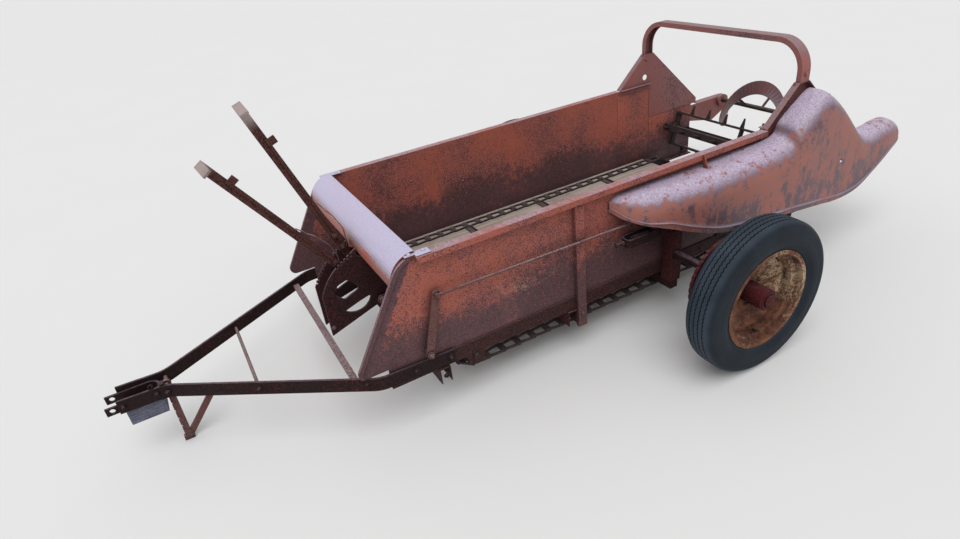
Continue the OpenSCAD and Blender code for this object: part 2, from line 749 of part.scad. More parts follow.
// U strap under the front of the shell, bent round a bolt and carried by a block on the side
strap_z = 503;
strap_h = 40;
strap_y = [half_w + 31, half_w + 89];
strap_front_x = 304;
strap_rear_x = 50;
strap_th = 6;
module drive_tightener() {
    color(dark_red) in_frame() {
        translate([0, 0, strap_z - strap_h / 2]) linear_extrude(strap_h)
            polygon(strip(path([[strap_rear_x, strap_y[0] + strap_th / 2, 0],
                [strap_front_x, strap_y[0] + strap_th / 2, 18],
                [strap_front_x, strap_y[1] - strap_th / 2, 18],
                [strap_rear_x, strap_y[1] - strap_th / 2, 0]]), strap_th));
        rod([strap_front_x - 120, (strap_y[0] + strap_y[1]) / 2, strap_z],
            [strap_front_x + 50, (strap_y[0] + strap_y[1]) / 2, strap_z + 4], 6);
        rod_y(strap_rear_x + 70, strap_z, 9, half_w + seat_gap, strap_y[1] + 8);
        translate([strap_rear_x, half_w + seat_gap, strap_z - strap_h / 2 + 3])
            cube([40, strap_y[0] - half_w, strap_h - 6]);
    }
}

// Drop axle below the box, its uprights and the two spindles
beam_s = 44;
beam_z = turn_z - pitch + link_t / 2 + 10;
bracket_y = half_w + sill_t + 12;
bracket_w = 60;
spindle_out = 72;
module axle() {
    color(steel) in_frame() {
        translate([-beam_s / 2, -bracket_y - beam_s, beam_z])
            cube([beam_s, 2 * (bracket_y + beam_s), beam_s]);
        for (s = [0, 1]) mirror([0, s, 0]) {
            translate([-beam_s / 2, bracket_y, beam_z + beam_s])
                cube([beam_s, beam_s, axle_z + 40 - beam_z - beam_s]);
            rod_y(0, axle_z, spindle_r, bracket_y + beam_s,
                (s == 0 ? wheel_y : wheel_right_y) + spindle_out, 48);
        }
    }
}

module axle_brackets() {
    color(dark_red) in_frame() for (s = [0, 1]) mirror([0, s, 0])
        difference() {
            translate([-bracket_w / 2, half_w + sill_t + seat_gap, beam_z + beam_s + seat_gap])
                cube([bracket_w, beam_s + 18, 270]);
            translate([-beam_s / 2 - seat_gap, bracket_y - seat_gap, beam_z])
                cube([beam_s + 2 * seat_gap, beam_s + 2 * seat_gap, 600]);
            rod_y(0, axle_z, spindle_r + 4, half_w, half_w + 200);
        }
}

// Apron: two chains of open links, flat over the floor and back below it, with slats across
apron_shaft_r = 14;
link_front = 25;
link_rear = 31;
link_bar = 9;
flat_r = pitch * cos(30) - link_t / 2 - seat_gap;

// One link from its joint at the origin to the next joint at x = pitch
module chain_link() {
    translate([0, 0, -link_t / 2]) linear_extrude(link_t) difference() {
        polygon([[-5, -link_front], [pitch + 5, -link_rear], [pitch + 5, link_rear], [-5, link_front]]);
        polygon([[5 + link_bar, link_bar - link_front], [pitch - 5 - link_bar, link_bar - link_rear],
            [pitch - 5 - link_bar, link_rear - link_bar], [5 + link_bar, link_front - link_bar]]);
    }
}

module chain_run(x, z, n, back) {
    for (i = [0:n - 1])
        translate([x + i * pitch, apron_y, z]) translate([back ? pitch : 0, 0, 0])
            rotate([0, back ? 180 : 0, 0]) chain_link();
}

module apron_chain() {
    chain_run(rear_sprocket_x, turn_z + pitch, run_links, false);
    chain_run(rear_sprocket_x, turn_z - pitch, run_links, true);
    for (end = [[front_sprocket_x, 90], [rear_sprocket_x, -90]], i = [0:2])
        let (a = end[1] - i * 60)
            translate([end[0] + pitch * cos(a), apron_y, turn_z + pitch * sin(a)])
                rotate([0, 120 - a, 0]) chain_link();
}

module apron_chain_left() {
    color(steel) in_frame() apron_chain();
}

module apron_chain_right() {
    color(steel) in_frame() right_side() apron_chain();
}

slat_w = 38;
slat_t = 5;
slat_h = 12;
module apron_slat(x, z, up) {
    half_l = apron_y - link_rear - seat_gap;
    translate([x, 0, z]) mirror([0, 0, up ? 0 : 1]) {
        translate([-slat_w / 2, -half_l, -link_t / 2]) cube([slat_w, 2 * half_l, slat_t]);
        translate([-slat_w / 2, -half_l, -link_t / 2]) cube([slat_t, 2 * half_l, slat_h]);
    }
}

module apron_slats() {
    color(steel) in_frame() for (i = [0:slat_links:run_links - 1]) {
        apron_slat(front_sprocket_x - i * pitch, turn_z + pitch, true);
        apron_slat(front_sprocket_x - (i + slat_links / 2) * pitch, turn_z - pitch, false);
    }
}

// Six-sided sprocket with a tooth for each link's opening
module apron_sprocket() {
    rotate(30) cylinder(r = flat_r / cos(30), h = 20, $fn = 6);
    for (i = [0:5]) rotate(i * 60) translate([0, -13, 4]) cube([flat_r + link_t + 4, 26, 12]);
}

module apron_shafts() {
    color(steel) in_frame() {
        rod_y(front_sprocket_x, turn_z, apron_shaft_r, -half_w - sill_t - 8, half_w + sill_t + 8, 40);
        rod_y(rear_sprocket_x, turn_z, apron_shaft_r, -half_w - 60, half_w + sill_t + 8, 40);
        for (x = [front_sprocket_x, rear_sprocket_x], s = [-1, 1])
            translate([x, s * apron_y + 10, turn_z]) rotate([90, 0, 0]) apron_sprocket();
    }
}

// Ratchet that feeds the apron, on the right side
module feed_ratchet() {
    color(dark_red) in_frame() right_side() {
        plate(half_w + 44, 12) difference() {
            union() {
                translate([rear_sprocket_x, turn_z]) circle(r = 112, $fn = 60);
                for (i = [0:23])
                    translate([rear_sprocket_x, turn_z]) rotate(i * 15)
                        polygon([[104, -8], [126, -8], [108, 10]]);
            }
            translate([rear_sprocket_x, turn_z]) circle(r = apron_shaft_r + run_gap, $fn = 40);
        }
        plate(half_w + 56, 6) difference() {
            polygon(strip([[rear_sprocket_x, turn_z], [rear_sprocket_x + 40, turn_z + 190]], 32));
            translate([rear_sprocket_x, turn_z]) circle(r = apron_shaft_r + run_gap, $fn = 40);
        }
        plate(half_w + 44, 12) polygon([[rear_sprocket_x + 18, turn_z + 160],
            [rear_sprocket_x + 50, turn_z + 156], [rear_sprocket_x + 66, turn_z + 112]]);
    }
}

// Beater: four toothed bars on three spiders
bar_n = 4;
bar_start_a = 20;
beater_bar_w = 40;
beater_bar_t = 12;
tooth_w = 30;
tooth_t = 6;
module beater() {
    half_l = in_w - 14;
    color(steel) in_frame() translate([-beater_x, 0, beater_z]) {
        rod_y(0, 0, beater_shaft_r, -half_w - 30, chain_y + 20, 48);
        translate([0, chain_y + 5, 0]) rotate([90, 0, 0]) sprocket(16, beater_sprocket_r, 10);
        for (y = [12 - half_l, 6, half_l])
            translate([0, y, 0]) rotate([90, 0, 0]) linear_extrude(12) {
                circle(r = 34, $fn = 32);
                for (i = [0:bar_n - 1]) rotate(i * 360 / bar_n + bar_start_a)
                    translate([0, -14]) square([beater_r, 28]);
            }
        for (i = [0:bar_n - 1]) rotate([0, -(i * 360 / bar_n + bar_start_a), 0]) {
            translate([beater_r - beater_bar_t / 2, -half_l, -beater_bar_w / 2])
                cube([beater_bar_t, 2 * half_l, beater_bar_w]);
            for (y = [-half_l + 36 + (i % 2) * tooth_step / 2:tooth_step:half_l - 20])
                translate([beater_r, y, -tooth_t / 2]) linear_extrude(tooth_t)
                    polygon([[0, -tooth_w / 2], [tooth_l, -4], [tooth_l, 4], [0, tooth_w / 2]]);
        }
    }
}

module sprocket(n, r, t) {
    linear_extrude(t) difference() {
        circle(r = r, $fn = 48);
        for (i = [0:n - 1]) rotate(i * 360 / n) translate([r, 0]) circle(r = 5, $fn = 16);
    }
}

// Widespread: a shaft with a left- and a right-hand ribbon blade on spokes
blade_w = 85;
blade_t = 5;
blade_l = 400;
blade_start_a = 261;
blade_turn = 343;
blade_y = 40;
blade_n = 36;
function blade_a(t) = blade_start_a - blade_turn * t;
module ribbon() {
    points = [for (i = [0:blade_n]) let (a = blade_a(i / blade_n), y = blade_y + blade_l * i / blade_n)
        each [for (k = [[0, 0], [1, 0], [1, 1], [0, 1]])
            let (r = spread_r - blade_w * k[0]) [r * cos(a), y + blade_t * k[1], r * sin(a)]]];
    skins = [for (i = [0:blade_n - 1], k = [0:3]) let (a = 4 * i + k, b = 4 * i + (k + 1) % 4)
        each [[a, b, b + 4], [a, b + 4, a + 4]]];
    end = 4 * blade_n;
    caps = [[0, 2, 1], [0, 3, 2], [end, end + 1, end + 2], [end, end + 2, end + 3]];
    polyhedron(points = points, faces = concat(skins, caps), convexity = 6);
}

module widespread() {
    color(steel) in_frame() translate([-spread_x, 0, spread_z]) {
        rod_y(0, 0, shaft_r, -half_w - 30, chain_y + 20, 40);
        translate([0, chain_y + 5, 0]) rotate([90, 0, 0]) sprocket(12, spread_sprocket_r, 10);
        for (s = [0, 1], t = [0.04, 0.35, 0.65, 0.96]) mirror([0, s, 0])
            translate([0, blade_y + blade_l * t + blade_t / 2, 0]) rotate([0, 90 - blade_a(t), 0])
                cylinder(r = 8, h = spread_r - blade_w - 2 * seat_gap, $fn = 20);
    }
}

module widespread_blades() {
    color(steel) in_frame() translate([-spread_x, 0, spread_z]) for (s = [0, 1])
        mirror([0, s, 0]) ribbon();
}

// Tyre section from the bead round: radius and half width
groove_step = 22;
groove_w = 5;
groove_d = 7;
module tyre() {
    hw = tyre_w / 2;
    half = [[rim_r - 15, rim_w / 2 - 6], [rim_r + 2, rim_w / 2 - 4], [rim_r + 12, hw - 11],
        [rim_r + 26, hw - 4], [rim_r + 46, hw], [rim_r + 66, hw - 1], [rim_r + 70, hw - 3],
        [tyre_r - 34, hw - 3], [tyre_r - 20, hw - 8], [tyre_r - 9, hw - 15], [tyre_r - 3, hw - 23],
        [tyre_r, hw - 33]];
    rotate([90, 0, 0]) rotate_extrude($fn = 72) difference() {
        polygon(concat(half, [for (i = [len(half) - 1:-1:0]) [half[i][0], -half[i][1]]]));
        for (i = [-1.5:1:1.5])
            translate([tyre_r - groove_d, i * groove_step - groove_w / 2]) square([20, groove_w]);
    }
}

// Rim: band with a drop centre, and a disc dished inwards to the hub, with slots at its edge
disc_in = 45;
disc_t = 5;
slot_n = 8;
module wheel_rim() {
    well = rim_r - 40;
    bead = rim_r - 15 - seat_gap;
    half = [[rim_r, rim_w / 2 - sheet_t / 2], [bead - sheet_t / 2, rim_w / 2 - sheet_t / 2],
        [bead - sheet_t / 2, rim_w / 2 - 30], [well, rim_w / 2 - 38]];
    line = concat(half, [for (i = [len(half) - 1:-1:0]) [half[i][0], -half[i][1]]]);
    rotate([90, 0, 0]) difference() {
        union() {
            rotate_extrude($fn = 72) polygon(strip(line, sheet_t));
            rotate_extrude($fn = 72) polygon(strip([[hub_r + seat_gap, disc_in], [hub_r + 34, disc_in],
                [well - 62, disc_in - 14], [well - 20, 12], [well, 12]], disc_t));
        }
        for (i = [0:slot_n - 1]) rotate(i * 360 / slot_n)
            translate([well - 12, 0, 12]) cube([9, 46, 3 * disc_t], center = true);
    }
}

hub_r = 46;
hub_out = 58;
hub_in = 60;
flange_r = 74;
// Ring gear behind the driving wheel
ring_y = -158;
ring_t = 14;
ring_r = 204;
module wheel_hub(drive) {
    difference() {
        union() {
            rod_y(0, 0, hub_r, -hub_in, hub_out, 48);
            rod_y(0, 0, flange_r, -disc_in - disc_t / 2 - seat_gap - 8, -disc_in - disc_t / 2 - seat_gap, 48);
            if (drive) {
                translate([0, ring_y, 0]) rotate([90, 0, 0]) linear_extrude(ring_t) difference() {
                    circle(r = ring_r, $fn = 96);
                    circle(r = ring_r - 54, $fn = 64);
                    for (i = [0:39]) rotate(i * 9) translate([ring_r + 8, 0]) circle(r = 11, $fn = 16);
                }
                translate([0, ring_y, 0]) rotate([90, 0, 0]) linear_extrude(ring_t)
                    for (i = [0:5]) rotate(i * 60) translate([30, -14]) square([ring_r - 74, 28]);
                rod_y(0, 0, hub_r + 6, ring_y - 18, 2 - hub_in, 48);
            }
        }
        rod_y(0, 0, spindle_r + run_gap, -200, hub_out + 2, 48);
    }
}

module wheel_at(side) {
    in_frame() mirror([0, side, 0]) translate([0, side == 0 ? wheel_y : wheel_right_y, axle_z]) children();
}

module tyre_left() {
    color(rubber) wheel_at(0) tyre();
}

module tyre_right() {
    color(rubber) wheel_at(1) tyre();
}

module rim_left() {
    color(rust) wheel_at(0) wheel_rim();
}

module rim_right() {
    color(rust) wheel_at(1) wheel_rim();
}

module hub_left() {
    color(dark_red) wheel_at(0) wheel_hub(true);
}

module hub_right() {
    color(dark_red) wheel_at(1) wheel_hub(false);
}

side_left();
side_right();
front_wall();
floor_boards();
sill_left();
sill_right();
cross_sills();
tongue_left();
tongue_right();
tongue_strap();
tongue_rod();
hitch_clevis();
hitch_block();
stand_leg();
control_quadrant();
control_linkage();
lever_left();
lever_right();
side_stakes();
gusset_left();
gusset_right();
rear_arm_left();
rear_arm_right();
arch();
drive_fender();
drive_tightener();
drive_shaft();
drive_chain();
axle();
axle_brackets();
apron_chain_left();
apron_chain_right();
apron_slats();
apron_shafts();
feed_ratchet();
beater();
widespread();
widespread_blades();
tyre_left();
rim_left();
hub_left();
tyre_right();
rim_right();
hub_right();
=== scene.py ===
import bmesh
import bpy
import json
import math
from mathutils import Matrix, Vector, noise


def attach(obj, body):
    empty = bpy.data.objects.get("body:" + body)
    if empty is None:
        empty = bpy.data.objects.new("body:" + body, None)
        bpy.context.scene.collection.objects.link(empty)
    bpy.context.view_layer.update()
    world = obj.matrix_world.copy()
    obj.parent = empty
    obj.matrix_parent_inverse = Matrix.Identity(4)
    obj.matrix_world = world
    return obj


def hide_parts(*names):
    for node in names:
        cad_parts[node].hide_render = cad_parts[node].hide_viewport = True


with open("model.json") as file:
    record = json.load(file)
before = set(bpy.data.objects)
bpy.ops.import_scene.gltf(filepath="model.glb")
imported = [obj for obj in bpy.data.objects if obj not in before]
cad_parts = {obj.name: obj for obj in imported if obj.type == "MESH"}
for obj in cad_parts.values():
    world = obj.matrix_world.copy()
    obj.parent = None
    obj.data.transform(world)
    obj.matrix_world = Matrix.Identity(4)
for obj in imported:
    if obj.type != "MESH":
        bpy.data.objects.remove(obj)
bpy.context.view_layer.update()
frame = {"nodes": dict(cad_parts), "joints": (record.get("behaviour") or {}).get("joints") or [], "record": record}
nodes = frame["nodes"]
joints = {j["name"]: j for j in frame["joints"]}
# The wheel axis at the box's centre line, on the ground, from which all places are counted
home = Vector((joints["wheel_left_spin"]["pos_m"][0], joints["beater_spin"]["pos_m"][1], 0))
print("frame loaded,", len(nodes), "nodes")

# The photograph's viewpoint: lens and sensor in millimetres, place in metres from home, angles in degrees
view = {
    "lens": 23.24, "sensor": 36, "place": (1.909, 2.415, 1.846), "heading": -115.79, "down": 30.40,
    "roll": -7.33}
studio = {
    "floor": 0.80, "floorDark": 0.97, "floorGrain": 1.2, "floorSize": 160, "sky": 0.60, "backdrop": 0.93,
    "sun": 1.5, "sunWidth": 50, "sunAngles": (-24, 14, 0)}


def makeCamera():
    bpy.ops.object.camera_add()
    camera = bpy.context.object
    camera.name = "photoCamera"
    camera.data.lens = view["lens"]
    camera.data.sensor_width = view["sensor"]
    turn = (Matrix.Rotation(math.radians(view["heading"] - 90), 4, "Z")
            @ Matrix.Rotation(math.radians(90 - view["down"]), 4, "X")
            @ Matrix.Rotation(math.radians(view["roll"]), 4, "Z"))
    camera.matrix_world = Matrix.Translation(Vector(view["place"]) + home) @ turn
    bpy.context.scene.camera = camera


def makeStudio():
    bpy.context.scene.view_settings.view_transform = "Standard"
    bpy.ops.object.light_add(type="SUN", rotation=[math.radians(a) for a in studio["sunAngles"]])
    sun = bpy.context.object.data
    sun.energy = studio["sun"]
    sun.angle = math.radians(studio["sunWidth"])
    world = bpy.data.worlds.new("studioSky")
    bpy.context.scene.world = world
    world.use_nodes = True
    tree = world.node_tree
    back = tree.nodes["Background"]
    rays = tree.nodes.new("ShaderNodeLightPath")
    level = tree.nodes.new("ShaderNodeMix")
    level.inputs[2].default_value = studio["sky"]  # lights the object
    level.inputs[3].default_value = studio["backdrop"]  # shows behind it
    tree.links.new(rays.outputs["Is Camera Ray"], level.inputs[0])
    tree.links.new(level.outputs[0], back.inputs["Strength"])
    back.inputs["Color"].default_value = (1, 1, 1, 1)
    bpy.ops.mesh.primitive_plane_add(size=studio["floorSize"])
    floor = bpy.context.object
    floor.name = "studioFloor"
    shade = Shade("floorPaper", roughness=0.9)
    pale = [studio["floor"]] * 3
    dark = [studio["floor"] * studio["floorDark"]] * 3
    shade.feed("Base Color", shade.mix(shade.noise(studio["floorGrain"], detail=4), dark, pale))
    floor.data.materials.append(shade.material)


# A socket of a shader tree that takes + - * / like a number
class Wire:
    def __init__(self, shade, socket):
        self.shade = shade
        self.socket = socket

    def __add__(self, other):
        return self.shade.maths("ADD", self, other)

    def __radd__(self, other):
        return self.shade.maths("ADD", other, self)

    def __sub__(self, other):
        return self.shade.maths("SUBTRACT", self, other)

    def __rsub__(self, other):
        return self.shade.maths("SUBTRACT", other, self)

    def __mul__(self, other):
        return self.shade.maths("MULTIPLY", self, other)

    def __rmul__(self, other):
        return self.shade.maths("MULTIPLY", other, self)

    def __truediv__(self, other):
        return self.shade.maths("DIVIDE", self, other)


# Rays that the corner and edge masks take, and how far a rounded normal turns along an edge
maskLook = {"cornerRays": 6, "edgeRays": 4, "edgeTurn": (0.03, 0.16)}


# One material: its tree, and the few nodes that all of them use
class Shade:
    def __init__(self, name, roughness=0.6, gloss=0.5):
        self.material = bpy.data.materials.new(name)
        self.material.use_nodes = True
        self.tree = self.material.node_tree
        self.surface = self.tree.nodes["Principled BSDF"]
        self.surface.inputs["Roughness"].default_value = roughness
        self.surface.inputs["Specular IOR Level"].default_value = gloss
        self.place = self.node("TexCoord", {}, {}, "Object")

    def node(self, kind, settings, values, out=0):
        made = self.tree.nodes.new("ShaderNode" + kind)
        for key, value in settings.items():
            setattr(made, key, value)
        for key, value in values.items():
            if isinstance(value, Wire):
                self.tree.links.new(value.socket, made.inputs[key])
            elif isinstance(value, (list, tuple)) and len(made.inputs[key].default_value) == 4:
                made.inputs[key].default_value = (*value, 1)
            else:
                made.inputs[key].default_value = value
        return Wire(self, made.outputs[out])

    def maths(self, operation, a, b):
        return self.node("Math", {"operation": operation}, {0: a, 1: b})

    def mix(self, share, a, b):
        return self.node("Mix", {"data_type": "RGBA"}, {0: share, 6: a, 7: b}, 2)

    def stretched(self, scale):
        return self.node("Mapping", {}, {"Vector": self.place, "Scale": scale})

    def noise(self, scale, detail=6.0, rough=0.6, warp=0.0, at=None):
        return self.node("TexNoise", {}, {"Vector": at or self.place, "Scale": scale, "Detail": detail,
                                          "Roughness": rough, "Distortion": warp}, "Fac")

    # 0 below low, 1 above high, smooth between
    def step(self, value, low, high):
        return self.node("MapRange", {"interpolation_type": "SMOOTHSTEP"},
                         {"Value": value, "From Min": low, "From Max": high})

    def parts(self, vector):
        split = self.node("SeparateXYZ", {}, {"Vector": vector})
        return [Wire(self, output) for output in split.socket.node.outputs]

    def normal(self):
        return self.node("NewGeometry", {}, {}, "Normal")

    def rounded(self, reach):
        return self.node("Bevel", {"samples": maskLook["edgeRays"]}, {"Radius": reach}, "Normal")

    # 1 in the open, 0 deep in a corner
    def openness(self, reach, low, high):
        near = self.node("AmbientOcclusion", {"samples": maskLook["cornerRays"]}, {"Distance": reach}, "AO")
        return self.step(near, low, high)

    # 1 along a sharp edge, 0 on a flat
    def edges(self, reach):
        turned = self.node("VectorMath", {"operation": "DOT_PRODUCT"},
                           {0: self.normal(), 1: self.rounded(reach)}, "Value")
        return self.step(1 - turned, *maskLook["edgeTurn"])

    def feed(self, name, value):
        self.tree.links.new(value.socket, self.surface.inputs[name])

    # Feeds the surface its colour, its roughness where one is given, and its relief
    def dress(self, look, colour, height, rough=None):
        self.feed("Base Color", colour)
        if rough:
            self.feed("Roughness", rough)
        bump = {"Height": height, "Strength": look["relief"], "Distance": look["depth"],
                "Normal": self.rounded(look["edge"])}
        self.feed("Normal", self.node("Bump", {}, bump, "Normal"))
        return self.material


# Linear colour from the 0 to 255 tones that a picture editor shows
def tone(*levels):
    return tuple(v / 12.92 if v <= 0.04045 else ((v + 0.055) / 1.055) ** 2.4
                 for v in [n / 255 for n in levels])


# Old paint: two tones, an oxide film in ragged patches and on what faces up, paler on top partly as a painted
# sheen of the sky, dark pits, fresh chips and painted shade in corners
def rustyPaint(name, look):
    shade = Shade(name, gloss=look["gloss"])
    x, y, z = shade.parts(shade.place)
    broad = shade.noise(look["broad"], detail=5, rough=0.62, warp=0.4)
    ragged = shade.noise(look["ragged"], detail=13, rough=0.78, warp=0.25)
    fine = shade.noise(look["fine"], detail=4, rough=0.7)
    grain = shade.noise(look["grain"], detail=2)
    runs = shade.stretched([look["streak"] * n for n in look["streakShape"]])
    streak = shade.noise(1.0, detail=9, rough=0.75, at=runs)
    upward = shade.step(shade.parts(shade.normal())[2], 0.02, look["upEnd"])
    nook = shade.openness(look["nookReach"], *look["nookEnds"])
    low = 1 - shade.step(z + (broad - 0.5) * 0.2, *look["lowBand"])
    paint = shade.mix(shade.step(broad, *look["paintEnds"]), look["paint"], look["faded"])
    cover = (upward * look["filmUp"] + low * look["filmLow"] + (ragged - 0.5) * look["filmRagged"]
             + (streak - 0.5) * look["filmStreak"] + (broad - 0.5) * look["filmBroad"]
             + (fine - 0.5) * look["filmFine"] + look["film"])
    if "edgeLine" in look:
        start, slope, wide = look["edgeLine"]
        past = x - (z * slope + start) + (ragged - 0.5) * look["edgeRagged"]
        cover = cover + shade.step(past, -wide, -wide * 0.5) * look["edgeShare"]
    film = shade.step(cover, 0.50 - look["filmSoft"], 0.50 + look["filmSoft"])
    # The film pales towards faces that look up: partly oxide, partly a painted sheen of the sky
    filmTone = shade.mix(upward * upward, look["filmSide"], look["filmTopAndSheen"])
    filmTone = shade.mix(shade.step(fine, *look["shadeEnds"]) * 0.5, filmTone, look["filmShade"])
    colour = shade.mix(film * look["filmShare"], paint, filmTone)
    pitNoise = (fine + (ragged - 0.5) * look["pitRagged"] + low * look["pitLow"]
                + (broad - 0.5) * look["pitBroad"] - upward * look["pitUp"])
    pits = shade.step(pitNoise, look["pits"], look["pits"] + look["pitSoft"])
    colour = shade.mix(pits * look["pitShare"], colour, look["pitTone"])
    chipNoise = shade.noise(look["fine"] * look["chipSize"], detail=6, rough=0.78)
    chips = shade.step(chipNoise + (broad - 0.5) * look["chipBroad"], look["chips"],
                       look["chips"] + look["chipSoft"])
    colour = shade.mix(chips * look["chipShare"], colour, look["chipTone"])
    dust = shade.step(grain * 0.6 + fine * 0.4, *look["dustEnds"])
    colour = shade.mix(dust * look["dustShare"], colour, look["dust"])
    worn = shade.step(ragged + (fine - 0.5) * 0.6, *look["wearEnds"])
    wear = shade.edges(look["edge"]) * worn * nook
    colour = shade.mix(wear * look["wearShare"], colour, look["wearTone"])
    # Painted shade: darker in corners and hollows, where less light reaches
    colour = shade.mix((1 - nook) * look["nookShadeShare"], colour, look["nookShadeTone"])
    if "specks" in look:
        specks = wornSpecks(shade, look["specks"], x, y, z, broad)
        colour = shade.mix(specks, colour, look["specks"]["tone"])
    if "grip" in look:
        centre, height, start, end = look["grip"]
        across, up = x - centre, z - height
        held = shade.step(across * across + up * up + (ragged - 0.5) * 0.12, start ** 2, end ** 2)
        colour = shade.mix(held * (0.55 + fine * 0.5), colour, look["gripTone"])
    rough = (look["rough"] + (1 - film) * look["roughPaint"] + pits * look["roughPits"]
             + (grain - 0.5) * look["roughGrain"])
    rough = shade.node("Clamp", {}, {0: rough})
    height = (grain * look["grainRise"] + fine * look["fineRise"] - pits * look["pitSink"]
              + film * look["filmRise"] + ragged * look["raggedRise"])
    return shade.dress(look, colour, height, rough)


# The mask of a band of specks on the outside of a panel, where its paint has worn through
def wornSpecks(shade, look, x, y, z, broad):
    across, up = (x - look["x"]) / look["reach"], (z - look["z"]) * look["flat"] / look["reach"]
    inside = 1 - shade.step(across * across + up * up + (broad - 0.5) * look["ragged"], *look["fade"])
    outer = shade.step(y, *look["outer"])
    patches = (shade.noise(look["patch"], detail=3) - 0.5) * look["patchShare"]
    left = shade.step(shade.noise(look["fine"], detail=4, rough=0.7) + patches, *look["left"])
    return inside * outer * left * look["share"]


sidePaint = {
    "paint": tone(166, 90, 74), "faded": tone(156, 92, 86), "gloss": 0.35,  # fresh and faded paint
    "broad": 3.0, "ragged": 40, "fine": 170, "grain": 900, "streak": 26,  # scales
    "streakShape": (1, 1, 0.3), "paintEnds": (0.36, 0.64), "shadeEnds": (0.40, 0.62),
    "dustEnds": (0.52, 0.66), "wearEnds": (0.40, 0.56), "nookEnds": (0.35, 0.95),  # where masks turn
    "film": 0.16, "filmUp": 0.50, "filmLow": 0.66, "filmRagged": 1.2, "filmStreak": 0.4,  # oxide film
    "filmBroad": 1.4, "filmShare": 0.82, "filmSide": tone(82, 60, 68), "filmTopAndSheen": tone(190, 160, 170),
    "filmShade": tone(66, 46, 50), "filmSoft": 0.18, "filmFine": 0.8, "upEnd": 0.9,
    "lowBand": (0.28, 0.66), "edgeRagged": 0.05, "edgeShare": 0.9,
    "pits": 0.500, "pitSoft": 0.05, "pitRagged": 0.35, "pitLow": 0.02, "pitBroad": 0.40, "pitUp": 0.10,
    "pitShare": 0.72, "pitTone": tone(62, 42, 44),
    "chips": 0.62, "chipSoft": 0.04, "chipSize": 0.6, "chipBroad": 0.25, "chipShare": 0.75,
    "chipTone": tone(190, 96, 66), "dustShare": 0.14, "dust": tone(180, 150, 140),
    "wearShare": 0.5, "wearTone": tone(170, 138, 140), "edge": 0.002,
    # Reach of the corner mask, and the painted shade in corners: its share and its tone
    "nookReach": 0.05, "nookShadeShare": 0.60, "nookShadeTone": tone(44, 30, 32),
    "rough": 0.50, "roughPaint": 0.12, "roughPits": 0.25, "roughGrain": 0.12,
    "relief": 0.42, "depth": 0.0010, "grainRise": 0.25, "fineRise": 0.45, "pitSink": 0.55,
    "filmRise": 0.30, "raggedRise": 0.3}
wornBand = {
    "x": 0.354, "z": 0.482, "reach": 0.19, "flat": 3.0, "ragged": 2.0, "fade": (0.5, 1.1),
    "outer": (0.3, 0.35), "fine": 260, "patch": 12, "patchShare": 0.4, "left": (0.60, 0.66),
    "share": 0.65, "tone": tone(204, 170, 144)}
# The film's edge line: x where it starts, slope over z, and width
panelPaint = {
    **sidePaint, "filmShare": 0.90, "lowBand": (0.33, 0.66), "specks": wornBand,
    "edgeLine": (1.336, -0.583, 0.05)}
archPaint = {
    **sidePaint, "paint": tone(148, 92, 88), "faded": tone(146, 102, 102), "film": 0.26,
    "filmSide": tone(122, 92, 100), "filmTopAndSheen": tone(158, 134, 138), "lowBand": (0.1, 0.4),
    "pits": 0.57}
# The hood's pale lavender top is partly oxide film, partly a painted sheen of the sky
hoodPaint = {
    **sidePaint, "paint": tone(170, 90, 70), "faded": tone(150, 96, 90), "film": 0.10, "filmUp": 1.25,
    "filmLow": -0.30, "filmRagged": 1.6, "filmTopAndSheen": tone(208, 208, 240), "filmSide": tone(112, 82, 90),
    "filmShade": tone(176, 174, 200), "filmSoft": 0.14, "pits": 0.66, "pitBroad": 0.3, "pitUp": 0.0,
    "pitTone": tone(120, 106, 122), "chips": 0.72, "dustShare": 0.25, "dust": tone(220, 218, 238),
    "rough": 0.34, "relief": 0.25, "lowBand": (0.45, 0.76), "upEnd": 0.62, "gloss": 0.5,
    "wearTone": tone(200, 190, 205)}
# The shell's lavender tops are partly oxide film, partly a painted sheen of the sky
fenderPaint = {
    **sidePaint, "paint": tone(156, 96, 84), "faded": tone(140, 95, 92), "film": 0.30,
    "filmUp": 0.58, "filmLow": 0.26, "filmRagged": 2.2, "filmStreak": 2.4, "filmBroad": 1.7,
    "filmShare": 0.95, "filmSide": tone(82, 62, 74), "filmTopAndSheen": tone(204, 190, 216),
    "filmShade": tone(98, 78, 90), "filmSoft": 0.07, "filmFine": 1.4, "pits": 0.64, "pitShare": 0.7,
    "pitTone": tone(80, 58, 66), "chips": 0.68, "chipTone": tone(206, 118, 96),
    "lowBand": (0.46, 0.62), "rough": 0.36, "roughPaint": 0.20, "upEnd": 0.95, "relief": 0.35,
    "fine": 130, "ragged": 20, "streak": 30, "gloss": 0.5, "wearTone": tone(150, 126, 140)}
framePaint = {
    **sidePaint, "paint": tone(35, 21, 22), "faded": tone(46, 28, 29), "film": 0.02, "filmUp": 0.60,
    "filmLow": 0.0, "filmSide": tone(60, 44, 48), "filmTopAndSheen": tone(122, 106, 116),
    "filmShade": tone(50, 38, 42), "pitTone": tone(26, 17, 19), "chips": 0.58,
    "chipTone": tone(112, 46, 40), "dustShare": 0.08, "dust": tone(96, 76, 74), "gloss": 0.15,
    "wearTone": tone(130, 104, 108), "nookShadeTone": tone(20, 14, 16), "filmBroad": 0.5}
sillPaint = {
    **framePaint, "paint": tone(62, 38, 37), "faded": tone(72, 47, 47), "filmTopAndSheen": tone(146, 118, 124),
    "filmSide": tone(70, 50, 52)}
